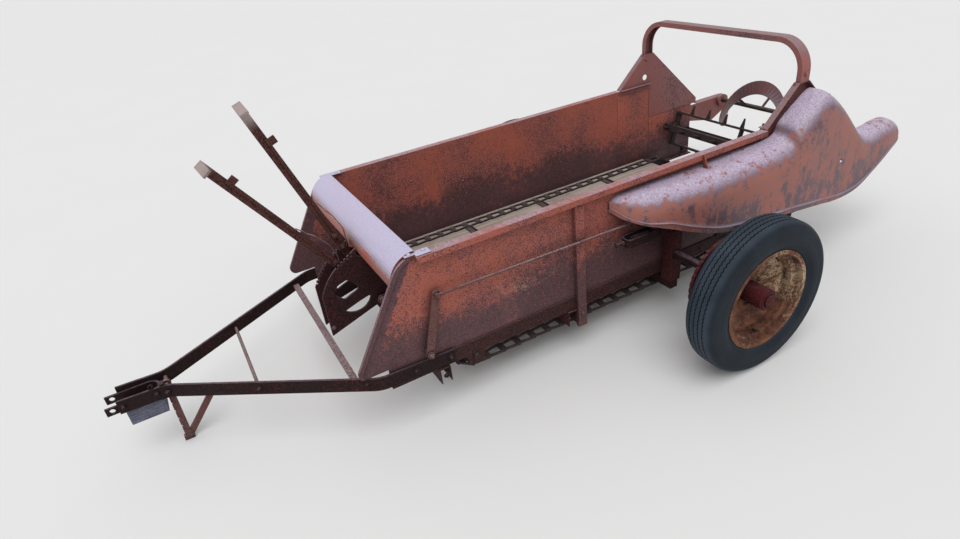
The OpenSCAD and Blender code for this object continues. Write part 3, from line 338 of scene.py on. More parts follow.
# The levers' pale grips: x and z that they are counted from, and the reach where the wear starts and is full
leverPaint = {
    **framePaint, "paint": tone(78, 46, 41), "faded": tone(94, 58, 52), "filmSide": tone(80, 58, 56),
    "filmTopAndSheen": tone(136, 110, 106), "chips": 0.66, "chipTone": tone(140, 62, 50),
    "grip": (0.8945, 0.416, 0.86, 0.92), "gripTone": tone(176, 162, 160)}
quadrantPaint = {
    **framePaint, "paint": tone(50, 31, 33), "faded": tone(62, 38, 40), "wearShare": 0.9,
    "wearTone": tone(176, 150, 148), "chipTone": tone(108, 38, 38)}
hubPaint = {
    **framePaint, "paint": tone(88, 32, 34), "faded": tone(78, 36, 38), "filmUp": 0.4,
    "filmTopAndSheen": tone(126, 94, 98)}
darkSteel = {
    **framePaint, "paint": tone(60, 51, 52), "faded": tone(78, 66, 65), "filmSide": tone(72, 57, 56),
    "filmTopAndSheen": tone(112, 98, 98), "chips": 0.67, "chipTone": tone(100, 68, 56), "rough": 0.5}
rodSteel = {
    **darkSteel, "paint": tone(104, 70, 66), "faded": tone(122, 90, 86), "filmTopAndSheen": tone(168, 148, 152),
    "filmSide": tone(98, 74, 72), "pitTone": tone(60, 42, 42)}
bladeSteel = {
    **archPaint, "paint": tone(112, 68, 66), "faded": tone(104, 72, 78), "rough": 0.34,
    "filmSide": tone(104, 82, 96), "filmTopAndSheen": tone(140, 124, 140), "chips": 0.70, "gloss": 0.5}

rimRust = {
    "broad": 6, "patch": 22, "flake": 60, "fine": 300, "rust": tone(72, 46, 40),
    "rustPale": tone(128, 84, 62), "speck": tone(52, 36, 34), "cream": tone(150, 122, 92),
    "creamPale": tone(206, 186, 156), "creamEnds": (0.66, 0.72), "creamShare": 0.92, "creamSide": 0.16,
    # nook: the tone of painted shade in the rim's corners
    "nook": tone(52, 34, 34), "nookReach": 0.04, "rough": 0.88, "roughCream": 0.28, "relief": 0.6,
    "depth": 0.0012, "edge": 0.0015}


# Rust over the last flakes of cream paint, more of which is left towards the back and top of a wheel
def rimFinish(wheelPlace):
    look = rimRust
    shade = Shade("rimRust", gloss=0.25)
    x, _, z = shade.parts(shade.place)
    broad = shade.noise(look["broad"], detail=6, rough=0.65, warp=0.5)
    flake = shade.noise(look["flake"], detail=12, rough=0.8, warp=0.3)
    fine = shade.noise(look["fine"], detail=5, rough=0.75)
    patch = shade.step(shade.noise(look["patch"], detail=8, rough=0.72), 0.36, 0.64)
    rust = shade.mix(patch, look["rust"], look["rustPale"])
    rust = shade.mix(shade.step(fine, 0.5, 0.66) * 0.5, rust, look["speck"])
    rearward = shade.step((x - wheelPlace.x) * -1.0 + (z - wheelPlace.z) * 0.5, -0.10, 0.20)
    cream = shade.step(flake + (fine - 0.5) * 0.7 + (broad - 0.5) * 0.6 + rearward * look["creamSide"],
                       *look["creamEnds"])
    colour = shade.mix(cream * look["creamShare"], rust, shade.mix(fine, look["cream"], look["creamPale"]))
    # Painted shade in the rim's corners and hollows
    nook = shade.openness(look["nookReach"], 0.3, 0.9)
    colour = shade.mix((1 - nook) * 0.5, colour, look["nook"])
    rough = look["rough"] - cream * look["roughCream"]
    return shade.dress(look, colour, cream * 0.6 + fine * 0.5 + flake * 0.3, rough)


rubber = {
    "broad": 5, "fine": 170, "tread": tone(44, 53, 64), "treadPale": tone(56, 66, 78),
    "wall": tone(24, 31, 39), "wallPale": tone(32, 40, 49), "dust": tone(78, 86, 92), "dustShare": 0.45,
    # nook and its share: painted shade in the grooves
    "nook": tone(22, 25, 30), "nookReach": 0.012, "nookShadeShare": 0.8, "rough": 0.70, "roughFine": 0.3,
    "relief": 0.35, "depth": 0.0008, "edge": 0.001}


# Dusty blue-grey rubber, darker on the side walls, with painted shade in the grooves
def rubberFinish():
    look = rubber
    shade = Shade("agedRubber", roughness=0.75, gloss=0.22)
    broad = shade.noise(look["broad"], detail=5)
    fine = shade.noise(look["fine"], rough=0.75)
    sideways = shade.node("Math", {"operation": "ABSOLUTE"}, {0: shade.parts(shade.normal())[1]})
    blotch = shade.step(broad, 0.35, 0.65)
    tread = shade.mix(blotch, look["tread"], look["treadPale"])
    wall = shade.mix(blotch, look["wall"], look["wallPale"])
    colour = shade.mix(shade.step(sideways, 0.25, 0.8), tread, wall)
    colour = shade.mix(shade.step(fine, 0.56, 0.72) * look["dustShare"], colour, look["dust"])
    # Painted shade in the grooves and corners
    nook = shade.openness(look["nookReach"], 0.3, 0.9)
    colour = shade.mix((1 - nook) * look["nookShadeShare"], colour, look["nook"])
    return shade.dress(look, colour, fine, look["rough"] + (fine - 0.5) * look["roughFine"])


boards = {
    "along": (3, 60, 60), "grain": (10, 420, 420), "broad": 4, "wood": tone(142, 130, 122),
    "woodPale": tone(188, 176, 164), "line": tone(96, 82, 76), "lineShare": 0.5,
    "stain": tone(112, 86, 78), "stainShare": 0.4, "relief": 0.7, "depth": 0.0015, "edge": 0.001}


# Grey boards with their grain along the box
def boardFinish():
    look = boards
    shade = Shade("weatheredBoards", roughness=0.88)
    along = shade.noise(1.0, detail=8, rough=0.65, warp=0.3, at=shade.stretched(look["along"]))
    grain = shade.noise(1.0, detail=5, rough=0.7, warp=0.6, at=shade.stretched(look["grain"]))
    broad = shade.noise(look["broad"], detail=5)
    colour = shade.mix(shade.step(along, 0.3, 0.7), look["wood"], look["woodPale"])
    colour = shade.mix(shade.step(grain, 0.50, 0.66) * look["lineShare"], colour, look["line"])
    colour = shade.mix(shade.step(broad, 0.52, 0.66) * look["stainShare"], colour, look["stain"])
    return shade.dress(look, colour, grain * 0.7 + along * 0.5)


hitchBlock = {
    "grain": (14, 90, 160), "spots": 210, "wood": tone(78, 80, 96), "woodPale": tone(112, 114, 132),
    "spot": tone(40, 38, 46), "spotShare": 0.8, "relief": 0.7, "depth": 0.0015, "edge": 0.002}


# Stippled blue-grey wood of the block under the hitch
def blockFinish():
    look = hitchBlock
    shade = Shade("oldBlock", roughness=0.9)
    grain = shade.noise(1.0, detail=5, rough=0.7, warp=0.4, at=shade.stretched(look["grain"]))
    spots = shade.noise(look["spots"], rough=0.75)
    colour = shade.mix(shade.step(grain, 0.35, 0.65), look["wood"], look["woodPale"])
    colour = shade.mix(shade.step(spots, 0.52, 0.60) * look["spotShare"], colour, look["spot"])
    return shade.dress(look, colour, grain + spots * 0.7)


# Where a point counted from the wheel axis lies in the frame
def spot(x, y, z):
    return Vector((x, y, z)) + home


def clear():
    if bpy.context.mode != "OBJECT":
        bpy.ops.object.mode_set(mode="OBJECT")
    bpy.ops.object.select_all(action="DESELECT")


def take(*pieces):
    clear()
    for piece in pieces:
        piece.select_set(True)
    bpy.context.view_layer.objects.active = pieces[0]


# A new primitive with its own name, ready to be shaped
def begin(kind, name, **settings):
    clear()
    getattr(bpy.ops.mesh, "primitive_" + kind + "_add")(**settings)
    piece = bpy.context.object
    piece.name = name
    return piece


# Edit mode with only the faces or points selected that pass a test
def edit(piece, test, kind="FACE"):
    take(piece)
    bpy.ops.object.mode_set(mode="EDIT")
    bpy.ops.mesh.select_mode(type=kind)
    bpy.ops.mesh.select_all(action="DESELECT")
    mesh = bmesh.from_edit_mesh(piece.data)
    for element in (mesh.faces if kind == "FACE" else mesh.verts):
        if test(element):
            element.select_set(True)
    mesh.select_flush_mode()
    bmesh.update_edit_mesh(piece.data)


# Closes the seam of a spun or screwed surface and turns its faces outwards
def closeSeam(piece):
    edit(piece, lambda v: True, "VERT")
    bpy.ops.mesh.remove_doubles(threshold=0.00002)
    bpy.ops.mesh.normals_make_consistent(inside=False)
    clear()


def modify(piece, kind, **settings):
    take(piece)
    bpy.ops.object.modifier_add(type=kind)
    modifier = piece.modifiers[-1]
    for key, value in settings.items():
        setattr(modifier, key, value)
    bpy.ops.object.modifier_apply(modifier=modifier.name)


def roundEdges(piece, width, segments=2):
    modify(piece, "BEVEL", width=width, segments=segments, limit_method="ANGLE", angle_limit=math.radians(40))


def settle(piece):
    take(piece)
    bpy.ops.object.transform_apply(location=True, rotation=True, scale=True)


# A flat bar or block between two corners, its edges rounded
def block(name, corner, other, edge=0.001):
    size = [abs(b - a) for a, b in zip(corner, other)]
    middle = [(a + b) / 2 for a, b in zip(corner, other)]
    piece = begin("cube", name, size=1, location=spot(*middle), scale=size)
    settle(piece)
    roundEdges(piece, edge)
    return piece


# A round or six-sided bar about a place, its rims rounded where an edge is given
def bar(name, sides, radius, length, place=(0, 0, 0), turn=(0, 0, 0), edge=None, segments=2):
    piece = begin("cylinder", name, vertices=sides, radius=radius, depth=length, location=place, rotation=turn)
    settle(piece)
    if edge:
        roundEdges(piece, edge, segments)
    return piece


def ring(name, radius, wire, steps, place, turn):
    piece = begin("torus", name, major_radius=radius, minor_radius=wire, major_segments=steps,
                  minor_segments=8, location=place, rotation=turn)
    settle(piece)
    return piece


# A copy with its own mesh, moved by a matrix
def placed(piece, matrix):
    clear()
    made = piece.copy()
    made.data = piece.data.copy()
    bpy.context.collection.objects.link(made)
    made.data.transform(matrix)
    return made


# A copy whose +Z looks along a direction
def copyTo(piece, place, direction=(0, 0, 1), size=1.0, roll=0.0):
    turn = Vector(direction).to_track_quat("Z", "Y").to_matrix().to_4x4()
    return placed(piece, Matrix.Translation(place) @ turn @ Matrix.Rotation(roll, 4, "Z")
                  @ Matrix.Scale(size, 4))


def joined(name, pieces):
    take(*pieces)
    if len(pieces) > 1:
        bpy.ops.object.join()
    piece = bpy.context.object
    piece.name = name
    return piece


def drop(*pieces):
    take(*pieces)
    bpy.ops.object.delete()


# Applies the piece's place, smooths it, and gives it its finish and its body
def finish(piece, body, slot, stands=(), angle=38):
    settle(piece)
    bpy.ops.object.shade_smooth_by_angle(angle=math.radians(angle))
    piece.data.materials.clear()
    piece.data.materials.append(finishes[slot])
    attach(piece, body)
    if stands:
        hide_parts(*stands)


# Pressed shell, in metres. Rows from the side panel outwards: over the top, round the shoulder, down the
# face by share of its height, and down the rolled foot by height
shellLook = {
    "side": 0.5136, "thick": 0.003, "steps": 8, "topRows": 3, "shoulderRows": 12, "shoulder": 0.105,
    "shoulderLeast": 0.002, "bandShare": 0.8, "face": [0.75, 0.5, 0.3, 0.16, 0.0],
    "foot": [0.048, 0.038, 0.034, 0.030, 0.026, 0.022, 0.012, 0.004, 0.0],
    "bead": 0.030, "beadHalf": 0.006, "beadHeight": 0.0070, "lipIn": 0.0050, "lipReach": 1.5,
    "lastIn": 0.010, "flatFoot": 0.04,
    "dent": 0.0012, "dentLong": 7, "dentTall": 0.25, "dentPlace": 3.1,
    "hole": (-0.985, 0.69, 0.550), "holeSize": 0.010, "holeDeep": 0.06}
# Columns: x, top edge, foot, depth, gap at the top edge
shellStations = [
    (0.350, 0.694, 0.652, 0.010, 0.001), (0.310, 0.712, 0.618, 0.066, 0.001),
    (0.240, 0.716, 0.588, 0.126, 0.001), (0.120, 0.716, 0.545, 0.166, 0.001),
    (0.0, 0.714, 0.495, 0.182, 0.001), (-0.160, 0.714, 0.440, 0.186, 0.001),
    (-0.400, 0.722, 0.402, 0.186, 0.003), (-0.596, 0.742, 0.386, 0.186, 0.034),
    (-0.650, 0.804, 0.380, 0.186, 0.034), (-0.737, 0.868, 0.368, 0.184, 0.034),
    (-0.830, 0.920, 0.355, 0.180, 0.034), (-0.890, 0.902, 0.345, 0.176, 0.034),
    (-0.965, 0.848, 0.332, 0.172, 0.034), (-1.070, 0.752, 0.322, 0.166, 0.034),
    (-1.160, 0.662, 0.328, 0.162, 0.034), (-1.240, 0.614, 0.350, 0.158, 0.034),
    (-1.330, 0.612, 0.392, 0.152, 0.030), (-1.420, 0.618, 0.436, 0.144, 0.024),
    (-1.510, 0.612, 0.472, 0.128, 0.020), (-1.570, 0.588, 0.496, 0.106, 0.016),
    (-1.600, 0.552, 0.516, 0.066, 0.012)]


# A smooth curve's value between b and c, with a and d on either side
def betweenRows(a, b, c, d, t):
    return [0.5 * (2 * q + (r - p) * t + (2 * p - 5 * q + 4 * r - s) * t * t + (3 * q - p - 3 * r + s) * t ** 3)
            for p, q, r, s in zip(a, b, c, d)]


# How far out and how high a row of the shell lies at a station
def shellRow(row, top, foot, depth, gap):
    look = shellLook
    shoulderEnd = look["topRows"] + look["shoulderRows"]
    faceEnd = shoulderEnd + len(look["face"])
    r = min(look["shoulder"], depth - gap - 0.001, (top - foot) * look["bandShare"])
    r = max(r, look["shoulderLeast"])
    tall = top - r - foot
    footTop = min(look["foot"][0], tall * look["bandShare"])
    if row < look["topRows"]:
        return gap + (depth - r - gap) * row / look["topRows"], top
    if row <= shoulderEnd:
        a = math.radians(90 - 90 * (row - look["topRows"]) / look["shoulderRows"])
        return depth - r + r * math.cos(a), top - r + r * math.sin(a)
    if row < faceEnd:
        return depth, foot + footTop + (tall - footTop) * look["face"][row - shoulderEnd - 1]
    if row < faceEnd + len(look["foot"]):
        height = look["foot"][row - faceEnd] * footTop / look["foot"][0]
        near = (height / max(footTop, 0.001) * look["foot"][0] - look["bead"]) / look["beadHalf"]
        bead = look["beadHeight"] * math.exp(-near * near)
        lip = look["lipIn"] * min(1, max(0, -near / look["lipReach"]))
        return depth + (bead - lip) * min(1, footTop / look["flatFoot"]), foot + height
    return depth - look["lastIn"], foot + 0.001


def makeShell():
    look, rows = shellLook, shellStations
    steps, last = look["steps"], len(rows) - 1
    stations = [betweenRows(rows[max(i - 1, 0)], rows[i], rows[i + 1], rows[min(i + 2, last)], k / steps)
                for i in range(last) for k in range(steps)] + [rows[last]]
    down = look["topRows"] + look["shoulderRows"] + len(look["face"]) + len(look["foot"])
    shell = begin("grid", "shell", x_subdivisions=len(stations) - 1, y_subdivisions=down, size=2)
    for v in shell.data.vertices:
        x, *station = stations[round((v.co.x + 1) / 2 * (len(stations) - 1))]
        row = round((v.co.y + 1) / 2 * down)
        y, z = shellRow(row, *station)
        wave = noise.noise(Vector((x * look["dentLong"], row * look["dentTall"], look["dentPlace"])))
        fade = min(1, max(0, row - 1) / 4)
        v.co = spot(x, look["side"] + y + wave * look["dent"] * fade, z)
    edit(shell, lambda f: True)
    bpy.ops.mesh.normals_make_consistent(inside=False)
    clear()
    outer = max(shell.data.polygons, key=lambda f: f.center.y)
    if outer.normal.y < 0:
        edit(shell, lambda f: True)
        bpy.ops.mesh.flip_normals()
        clear()
    modify(shell, "SOLIDIFY", thickness=look["thick"], offset=-1)
    punch = begin("cylinder", "shellPunch", vertices=32, radius=look["holeSize"], depth=look["holeDeep"],
                  location=spot(*look["hole"]), rotation=(math.pi / 2, 0, 0))
    modify(shell, "BOOLEAN", operation="DIFFERENCE", object=punch)
    drop(punch)
    finish(shell, "root", "fender_paint", ["drive_fender"], angle=50)


# Tyres, in metres, but their grooves and crown in millimetres. Grooves: distance from the middle, radius
tyreLook = {
    "left": 1.028, "right": -0.790, "height": 0.340, "steps": 216, "zigzag": 0.0022,
    "zigzagFrom": 0.331, "zigzagBand": 2.6, "grooves": [(33, 339.2), (11, 339.9)], "grooveHalf": 2.4,
    "grooveFloor": 1.2, "grooveDepth": 7.5, "grooveRise": 0.2, "crown": 340}
# Section from the bead to the tread, in millimetres: radius and half width
tyreRows = [
    (206, 55), (214, 57.6), (223, 57.5), (227, 60), (229, 63.5), (232, 64.6), (235, 64), (239, 66.5),
    (245, 70), (250, 72.6), (256, 74.4), (262, 74.8), (270, 74.6), (273, 75), (276, 74.2), (284, 73.6),
    (292, 72.8), (295, 73.2), (298, 72.2), (304, 71.6), (307, 72.0), (310, 70.8), (316, 69.4),
    (321, 67.2), (326, 63.6), (330.5, 58.6), (334, 52.8), (337, 46.4), (338.6, 41)]


def makeTyre(side):
    look = tyreLook
    centre = look[side]
    tread = []
    for groove, top in look["grooves"]:
        tread += [(top, groove + look["grooveHalf"]), (top - look["grooveDepth"], groove + look["grooveFloor"]),
                  (top - look["grooveDepth"], groove - look["grooveFloor"]),
                  (top + look["grooveRise"], groove - look["grooveHalf"])]
    half = tyreRows + tread + [(look["crown"], 0)]
    rows = half + [(r, -w) for r, w in reversed(half[:-1])]
    hub = spot(0, centre, look["height"])
    tyre = begin("circle", "tyre" + side.capitalize(), vertices=len(rows), radius=1)
    for v, (r, w) in zip(tyre.data.vertices, rows):
        v.co = spot(r / 1000, centre + w / 1000, look["height"])
    edit(tyre, lambda v: True, "VERT")
    bpy.ops.mesh.spin(steps=look["steps"], angle=math.tau, center=hub, axis=(0, 1, 0))
    closeSeam(tyre)
    for v in tyre.data.vertices:
        reach = math.hypot(v.co.x - hub.x, v.co.z - hub.z)
        width = abs(v.co.y - hub.y) * 1000
        if reach > look["zigzagFrom"] and any(abs(width - g) < look["zigzagBand"] for g, _ in look["grooves"]):
            turn = math.atan2(v.co.z - hub.z, v.co.x - hub.x) / math.tau * look["steps"]
            v.co.y += look["zigzag"] * (1 if round(turn) % 2 else -1)
    finish(tyre, "wheel_" + side, "tyre", ["tyre_" + side], angle=28)


# Fasteners standing on z = 0, in metres. Columns: sides, radius, length, middle's height, bevel and its steps
fastenerLook = {
    "hexHead": (6, 0.010, 0.007, 0.0055, 0.0012, 2), "washer": (20, 0.013, 0.002, 0.001, 0.0005, 1),
    "threadEnd": (14, 0.0055, 0.008, 0.011, 0.001, 2)}
rivetLook = {"radius": 0.008, "sunk": 0.0025}
fastenerTurn = 0.7  # each one in a row is turned this much further than the last


def makeFasteners():
    parts = {}
    for name, (sides, radius, length, middle, bevel, steps) in fastenerLook.items():
        parts[name] = bar(name, sides, radius, length, (0, 0, middle))
        edit(parts[name], lambda f: f.normal.z > 0.9)
        bpy.ops.mesh.bevel(offset=bevel, segments=steps)
    nut = copyTo(parts["hexHead"], (0, 0, 0.0005))
    nutWasher = copyTo(parts["washer"], (0, 0, 0))
    rivet = begin("uv_sphere", "rivet", segments=14, ring_count=8, radius=rivetLook["radius"],
                  location=(0, 0, -rivetLook["sunk"]))
    settle(rivet)
    edit(rivet, lambda v: True, "VERT")
    bpy.ops.mesh.bisect(plane_co=(0, 0, 0), plane_no=(0, 0, 1), clear_inner=True, use_fill=True)
    return {"bolt": joined("hexBolt", [parts["hexHead"], parts["washer"]]),
            "nut": joined("hexNut", [nut, parts["threadEnd"], nutWasher]), "rivet": rivet}


outward, inward = (0, 1, 0), (0, -1, 0)
offBar, offTip = (0.54, 0.841, 0), (0.28, 0.96, 0)  # square to the slanted tongue bars
# Slot, body, whether the right side has them too, direction, and rows of: kind, x, y, z, size
boltRows = {
    "sidePanelBolts": ("side_paint", "root", True, outward, [
        ("bolt", 1.181, 0.550, 0.761, 0.75), ("rivet", 1.182, 0.514, 0.501, 0.9),
        ("bolt", 0.514, 0.5363, 0.728, 0.85), ("rivet", 0.514, 0.5363, 0.66, 0.8),
        ("bolt", 0.514, 0.5363, 0.20, 0.9), ("rivet", 0.70, 0.550, 0.761, 0.6),
        ("rivet", 0.20, 0.550, 0.761, 0.6), ("rivet", -0.40, 0.550, 0.761, 0.6)]),
    "innerRivets": ("side_paint", "root", True, inward, [
        ("rivet", 0.529, 0.511, 0.530, 0.9), ("rivet", 0.832, 0.511, 0.621, 0.8),
        ("rivet", -0.140, 0.511, 0.528, 0.9), ("rivet", -0.789, 0.5095, 0.423, 0.9),
        ("rivet", -0.882, 0.5095, 0.429, 0.9), ("rivet", -0.60, 0.5095, 0.62, 0.7),
        ("bolt", -0.790, 0.5077, 0.925, 0.8), ("rivet", -0.66, 0.5077, 0.765, 0.7),
        ("rivet", -1.176, 0.5077, 0.585, 0.7), ("rivet", -0.86, 0.5077, 0.585, 0.7)]),
    "sillRivets": ("frame_paint", "root", True, outward, [
        ("rivet", x / 100, 0.520, 0.264, 0.8) for x in range(-110, 110, 22) if abs(x) > 6]),
    "tongueBolts": ("frame_paint", "root", True, outward, [
        ("bolt", 1.332, 0.5303, 0.272, 1.15), ("nut", 1.180, 0.5303, 0.268, 1.15),
        ("bolt", 1.533, 0.4995, 0.283, 1.0, offBar), ("nut", 1.900, 0.2648, 0.2939, 0.95, offBar),
        ("nut", 2.386, 0.0570, 0.3095, 1.05), ("bolt", 2.264, 0.0572, 0.3056, 1.1),
        ("nut", 2.222, 0.0628, 0.3043, 1.1, offTip), ("bolt", 1.212, 0.530, 0.190, 0.9)]),
    "archBolts": ("side_paint", "root", True, outward, [
        ("bolt", -0.815, 0.539, 0.990, 0.95), ("nut", -0.775, 0.5175, 0.948, 0.8)]),
    "quadrantBolts": ("rod_steel", "root", False, outward, [
        ("nut", 1.305, 0.158, 0.416, 1.7), ("bolt", 1.537, 0.144, 0.356, 0.9),
        ("bolt", 1.268, 0.144, 0.580, 0.8), ("bolt", 1.268, 0.144, 0.345, 0.8),
        ("bolt", 1.268, 0.042, 0.580, 0.8), ("nut", 1.200, 0.559, 0.590, 0.8),
        ("nut", 1.268, 0.550, 0.333, 1.2)]),
    "rightLeverBolts": ("lever_paint", "right_lever", False, outward, [
        ("nut", 1.4186, 0.058, 0.728, 1.25), ("nut", 1.3963, 0.058, 0.667, 1.25),
        ("rivet", 1.575, 0.058, 1.158, 0.8)]),
    "leftLeverBolts": ("lever_paint", "left_lever", False, outward, [
        ("bolt", 1.4562, 0.122, 0.636, 0.9), ("rivet", 1.752, 0.122, 1.066, 0.8)]),
}


def makeBolts(fasteners):
    for name, (slot, body, inPairs, direction, rows) in boltRows.items():
        made = []
        for i, (kind, x, y, z, size, *own) in enumerate(rows):
            along, out, up = own[0] if own else direction
            for side in ((1, -1) if inPairs else (1,)):
                made.append(copyTo(fasteners[kind], spot(x, y * side, z), (along, out * side, up), size,
                                   roll=i * fastenerTurn))
        finish(joined(name, made), body, slot)


# Plates on both sides, each from a corner to the other, with y counted outwards, and their edge
plateLook = {
    "tie": ((1.190, 0.500, 0.7742), (1.252, 0.543, 0.7782), 0.0015),
    "lapFront": ((-0.823, 0.5095, 0.302), (-0.571, 0.511, 0.746), 0.0006),
    "lapRear": ((-1.186, 0.5095, 0.312), (-0.827, 0.511, 0.560), 0.0006),
    "ledge": ((-0.822, 0.4885, 0.776), (-0.590, 0.5075, 0.780), 0.001)}
tieTips = {
    1: ((1.250, 0.500, 0.7742), (1.292, 0.526, 0.7782)),
    -1: ((1.250, -0.500, 0.7742), (1.292, -0.543, 0.7782))}
tieRivets = {"x": (1.270, 1.212), "y": 0.514, "z": 0.7780, "size": 1.25}
lugLook = {"place": (-0.168, 0.565, 0.742), "size": (0.005, 0.030, 0.060), "slant": 0.024, "edge": 0.001}


def plate(kind, side):
    (x, y, z), (farX, farY, farZ), edge = plateLook[kind]
    return block(kind + "Plate", (x, y * side, z), (farX, farY * side, farZ), edge)


# Tie plates from the hood to the side rails, the lug on the left rail, and laps and ledges at the back
def makeSmallPlates(fasteners):
    ties = []
    for side in (1, -1):
        ties += [plate("tie", side), block("tieTip", *tieTips[side], plateLook["tie"][2])]
    for side in (1, -1):
        for x in tieRivets["x"]:
            ties.append(copyTo(fasteners["rivet"], spot(x, tieRivets["y"] * side, tieRivets["z"]),
                               size=tieRivets["size"]))
    finish(joined("hoodTies", ties), "root", "hood_paint")

    place = spot(*lugLook["place"])
    lug = begin("cube", "railLug", size=1, location=place, scale=lugLook["size"])
    settle(lug)
    edit(lug, lambda v: v.co.y > place.y and v.co.z > place.z, "VERT")
    bpy.ops.transform.translate(value=(0, -lugLook["slant"], 0))
    clear()
    roundEdges(lug, lugLook["edge"])
    finish(lug, "root", "side_paint")

    laps = [plate(kind, side) for side in (1, -1) for kind in ("lapFront", "lapRear")]
    finish(joined("lapPlates", laps), "root", "side_paint")
    finish(joined("gussetLedges", [plate("ledge", side) for side in (1, -1)]), "root", "side_paint")


# Tightener, on a line along x. Its parts: x, z, sides, radius, length, edge
tightenerLook = {
    "y": 0.574, "z": 0.503, "springAt": 0.178, "springWay": (1, 0, 0.04), "springSize": 1.1,
    "wire": 0.0024, "round": 0.013, "pitch": 0.0078, "turns": 10,
    "parts": {"rearCup": (0.176, 0.503, 28, 0.017, 0.005, 0.0012),
              "frontCup": (0.268, 0.503, 28, 0.017, 0.005, 0.0012),
              "adjustingNut": (0.316, 0.5041, 6, 0.012, 0.010, 0.001),
              "boltHead": (0.351, 0.5069, 6, 0.0115, 0.008, 0.001)},
    "rollerAt": 0.120, "rollerSize": 0.030, "rollerWide": 0.034, "rollerRim": 0.009,
    "rollerDish": 0.003, "rollerEdge": 0.001}


def makeSpring(look):
    wire = begin("circle", "springWire", vertices=8, radius=look["wire"], location=(look["round"], 0, 0),
                 rotation=(math.pi / 2, 0, 0))
    settle(wire)
    modify(wire, "SCREW", axis="Z", screw_offset=look["pitch"], iterations=look["turns"], steps=16,
           render_steps=16)
    closeSeam(wire)
    edit(wire, lambda v: False, "VERT")
    bpy.ops.mesh.select_non_manifold()
    bpy.ops.mesh.edge_face_add()
    spring = copyTo(wire, spot(look["springAt"], look["y"], look["z"]), look["springWay"], look["springSize"])
    drop(wire)
    return spring


def makeTightener():
    look = tightenerLook
    parts = [makeSpring(look)]
    for name, (x, z, sides, radius, length, edge) in look["parts"].items():
        parts.append(bar(name, sides, radius, length, spot(x, look["y"], z), (0, math.pi / 2, 0), edge))
    roller = bar("tightenerRoller", 40, look["rollerSize"], look["rollerWide"],
                 spot(look["rollerAt"], look["y"], look["z"]), (math.pi / 2, 0, 0))
    edit(roller, lambda f: abs(f.normal.y) > 0.9)
    bpy.ops.mesh.inset(thickness=look["rollerRim"])
    bpy.ops.mesh.extrude_region_shrink_fatten(TRANSFORM_OT_shrink_fatten={"value": -look["rollerDish"]})
    clear()
    roundEdges(roller, look["rollerEdge"])
    finish(joined("tightenerParts", parts + [roller]), "root", "dark_steel")


# Latch strips that bow away from the levers. Bow: share of the strip, how far it stands off.
# Left and right: the lever's angle in degrees, and y
latchLook = {
    "bow": [(0.0, 0.0), (0.12, 0.016), (0.35, 0.030), (0.6, 0.026), (0.85, 0.012), (1.0, 0.004)],
    "from": 0.262, "to": 0.50, "wide": 0.012, "thick": 0.0025, "off": 0.017, "aside": 0.004,
    "edge": 0.0004, "pivot": (1.305, 0.416), "left": (55.5, 0.122), "right": (70.0, 0.058)}


def makeLatch(side):
    look = latchLook
    bow = look["bow"]
    angle, y = look[side]
    strip = begin("grid", "latch" + side.capitalize(), x_subdivisions=40, y_subdivisions=1, size=2)
    a = math.radians(angle)
    along = Vector((math.cos(a), 0, math.sin(a)))
    across = Vector((-math.sin(a), 0, math.cos(a)))
    pivotX, pivotZ = look["pivot"]
    for v in strip.data.vertices:
        share = (v.co.x + 1) / 2
        k = max(i for i in range(len(bow) - 1) if bow[i][0] <= share)
        t = (share - bow[k][0]) / (bow[k + 1][0] - bow[k][0])
        t = t * t * (3 - 2 * t)
        off = bow[k][1] * (1 - t) + bow[k + 1][1] * t
        reach = look["from"] + (look["to"] - look["from"]) * share
        v.co = (spot(pivotX, y + look["aside"] + look["wide"] / 2 * v.co.y, pivotZ)
                + along * reach + across * (look["off"] + off))
    modify(strip, "SOLIDIFY", thickness=look["thick"], offset=0)
    roundEdges(strip, look["edge"])
    finish(strip, side + "_lever", "rod_steel")


# Parts on a wheel's middle. Valve, nut, washer and pin: sides, radius, length, how far out, edge
hubLook = {
    "disc": -0.0415, "boltRing": 0.066, "bolts": 6, "valve": (12, 0.0045, 0.034, 0.022, 0.0012),
    "valveRing": 0.168, "valveLean": 1.35, "nut": (6, 0.029, 0.011, 0.0667, 0.0018), "nutTurn": 0.3,
    "washer": (36, 0.038, 0.003, 0.0597, 0.0006), "pin": (10, 0.0024, 0.050, 0.0705, None),
    "pinLean": 0.9, "eyeAt": 0.0255, "eye": (0.0055, 0.0019)}


def makeHubParts(side, fasteners):
    look = hubLook
    centre, height = tyreLook[side], tyreLook["height"]
    body, side = "wheel_" + side, side.capitalize()
    sign = 1 if centre > 0 else -1

    def part(kind, turn, below=0):
        sides, radius, length, out, edge = look[kind]
        place = spot(0, centre + sign * out, height - below)
        return bar(kind + side, sides, radius, length, place, turn, edge)
    bolts = []
    for i in range(look["bolts"]):
        a = math.tau * (i + 0.5) / look["bolts"]
        place = spot(look["boltRing"] * math.cos(a), centre + sign * look["disc"],
                     height + look["boltRing"] * math.sin(a))
        bolts.append(copyTo(fasteners["nut"], place, (0, sign, 0), roll=i))
    finish(joined("discBolts" + side, bolts), body, "rim_rust")
    finish(part("valve", (-sign * look["valveLean"], 0, 0), look["valveRing"]), body, "dark_steel")

    lean, out = look["pinLean"], look["pin"][3]
    eyePlace = spot(look["eyeAt"] * math.sin(lean), centre + sign * out,
                    height + look["eyeAt"] * math.cos(lean))
    parts = [part("nut", (math.pi / 2, look["nutTurn"], 0)), part("washer", (math.pi / 2, 0, 0)),
             part("pin", (0, lean, 0)), ring("cotterEye", *look["eye"], 20, eyePlace, (math.pi / 2, 0, 0))]
    finish(joined("axleNut" + side, parts), "root", "hub_paint")


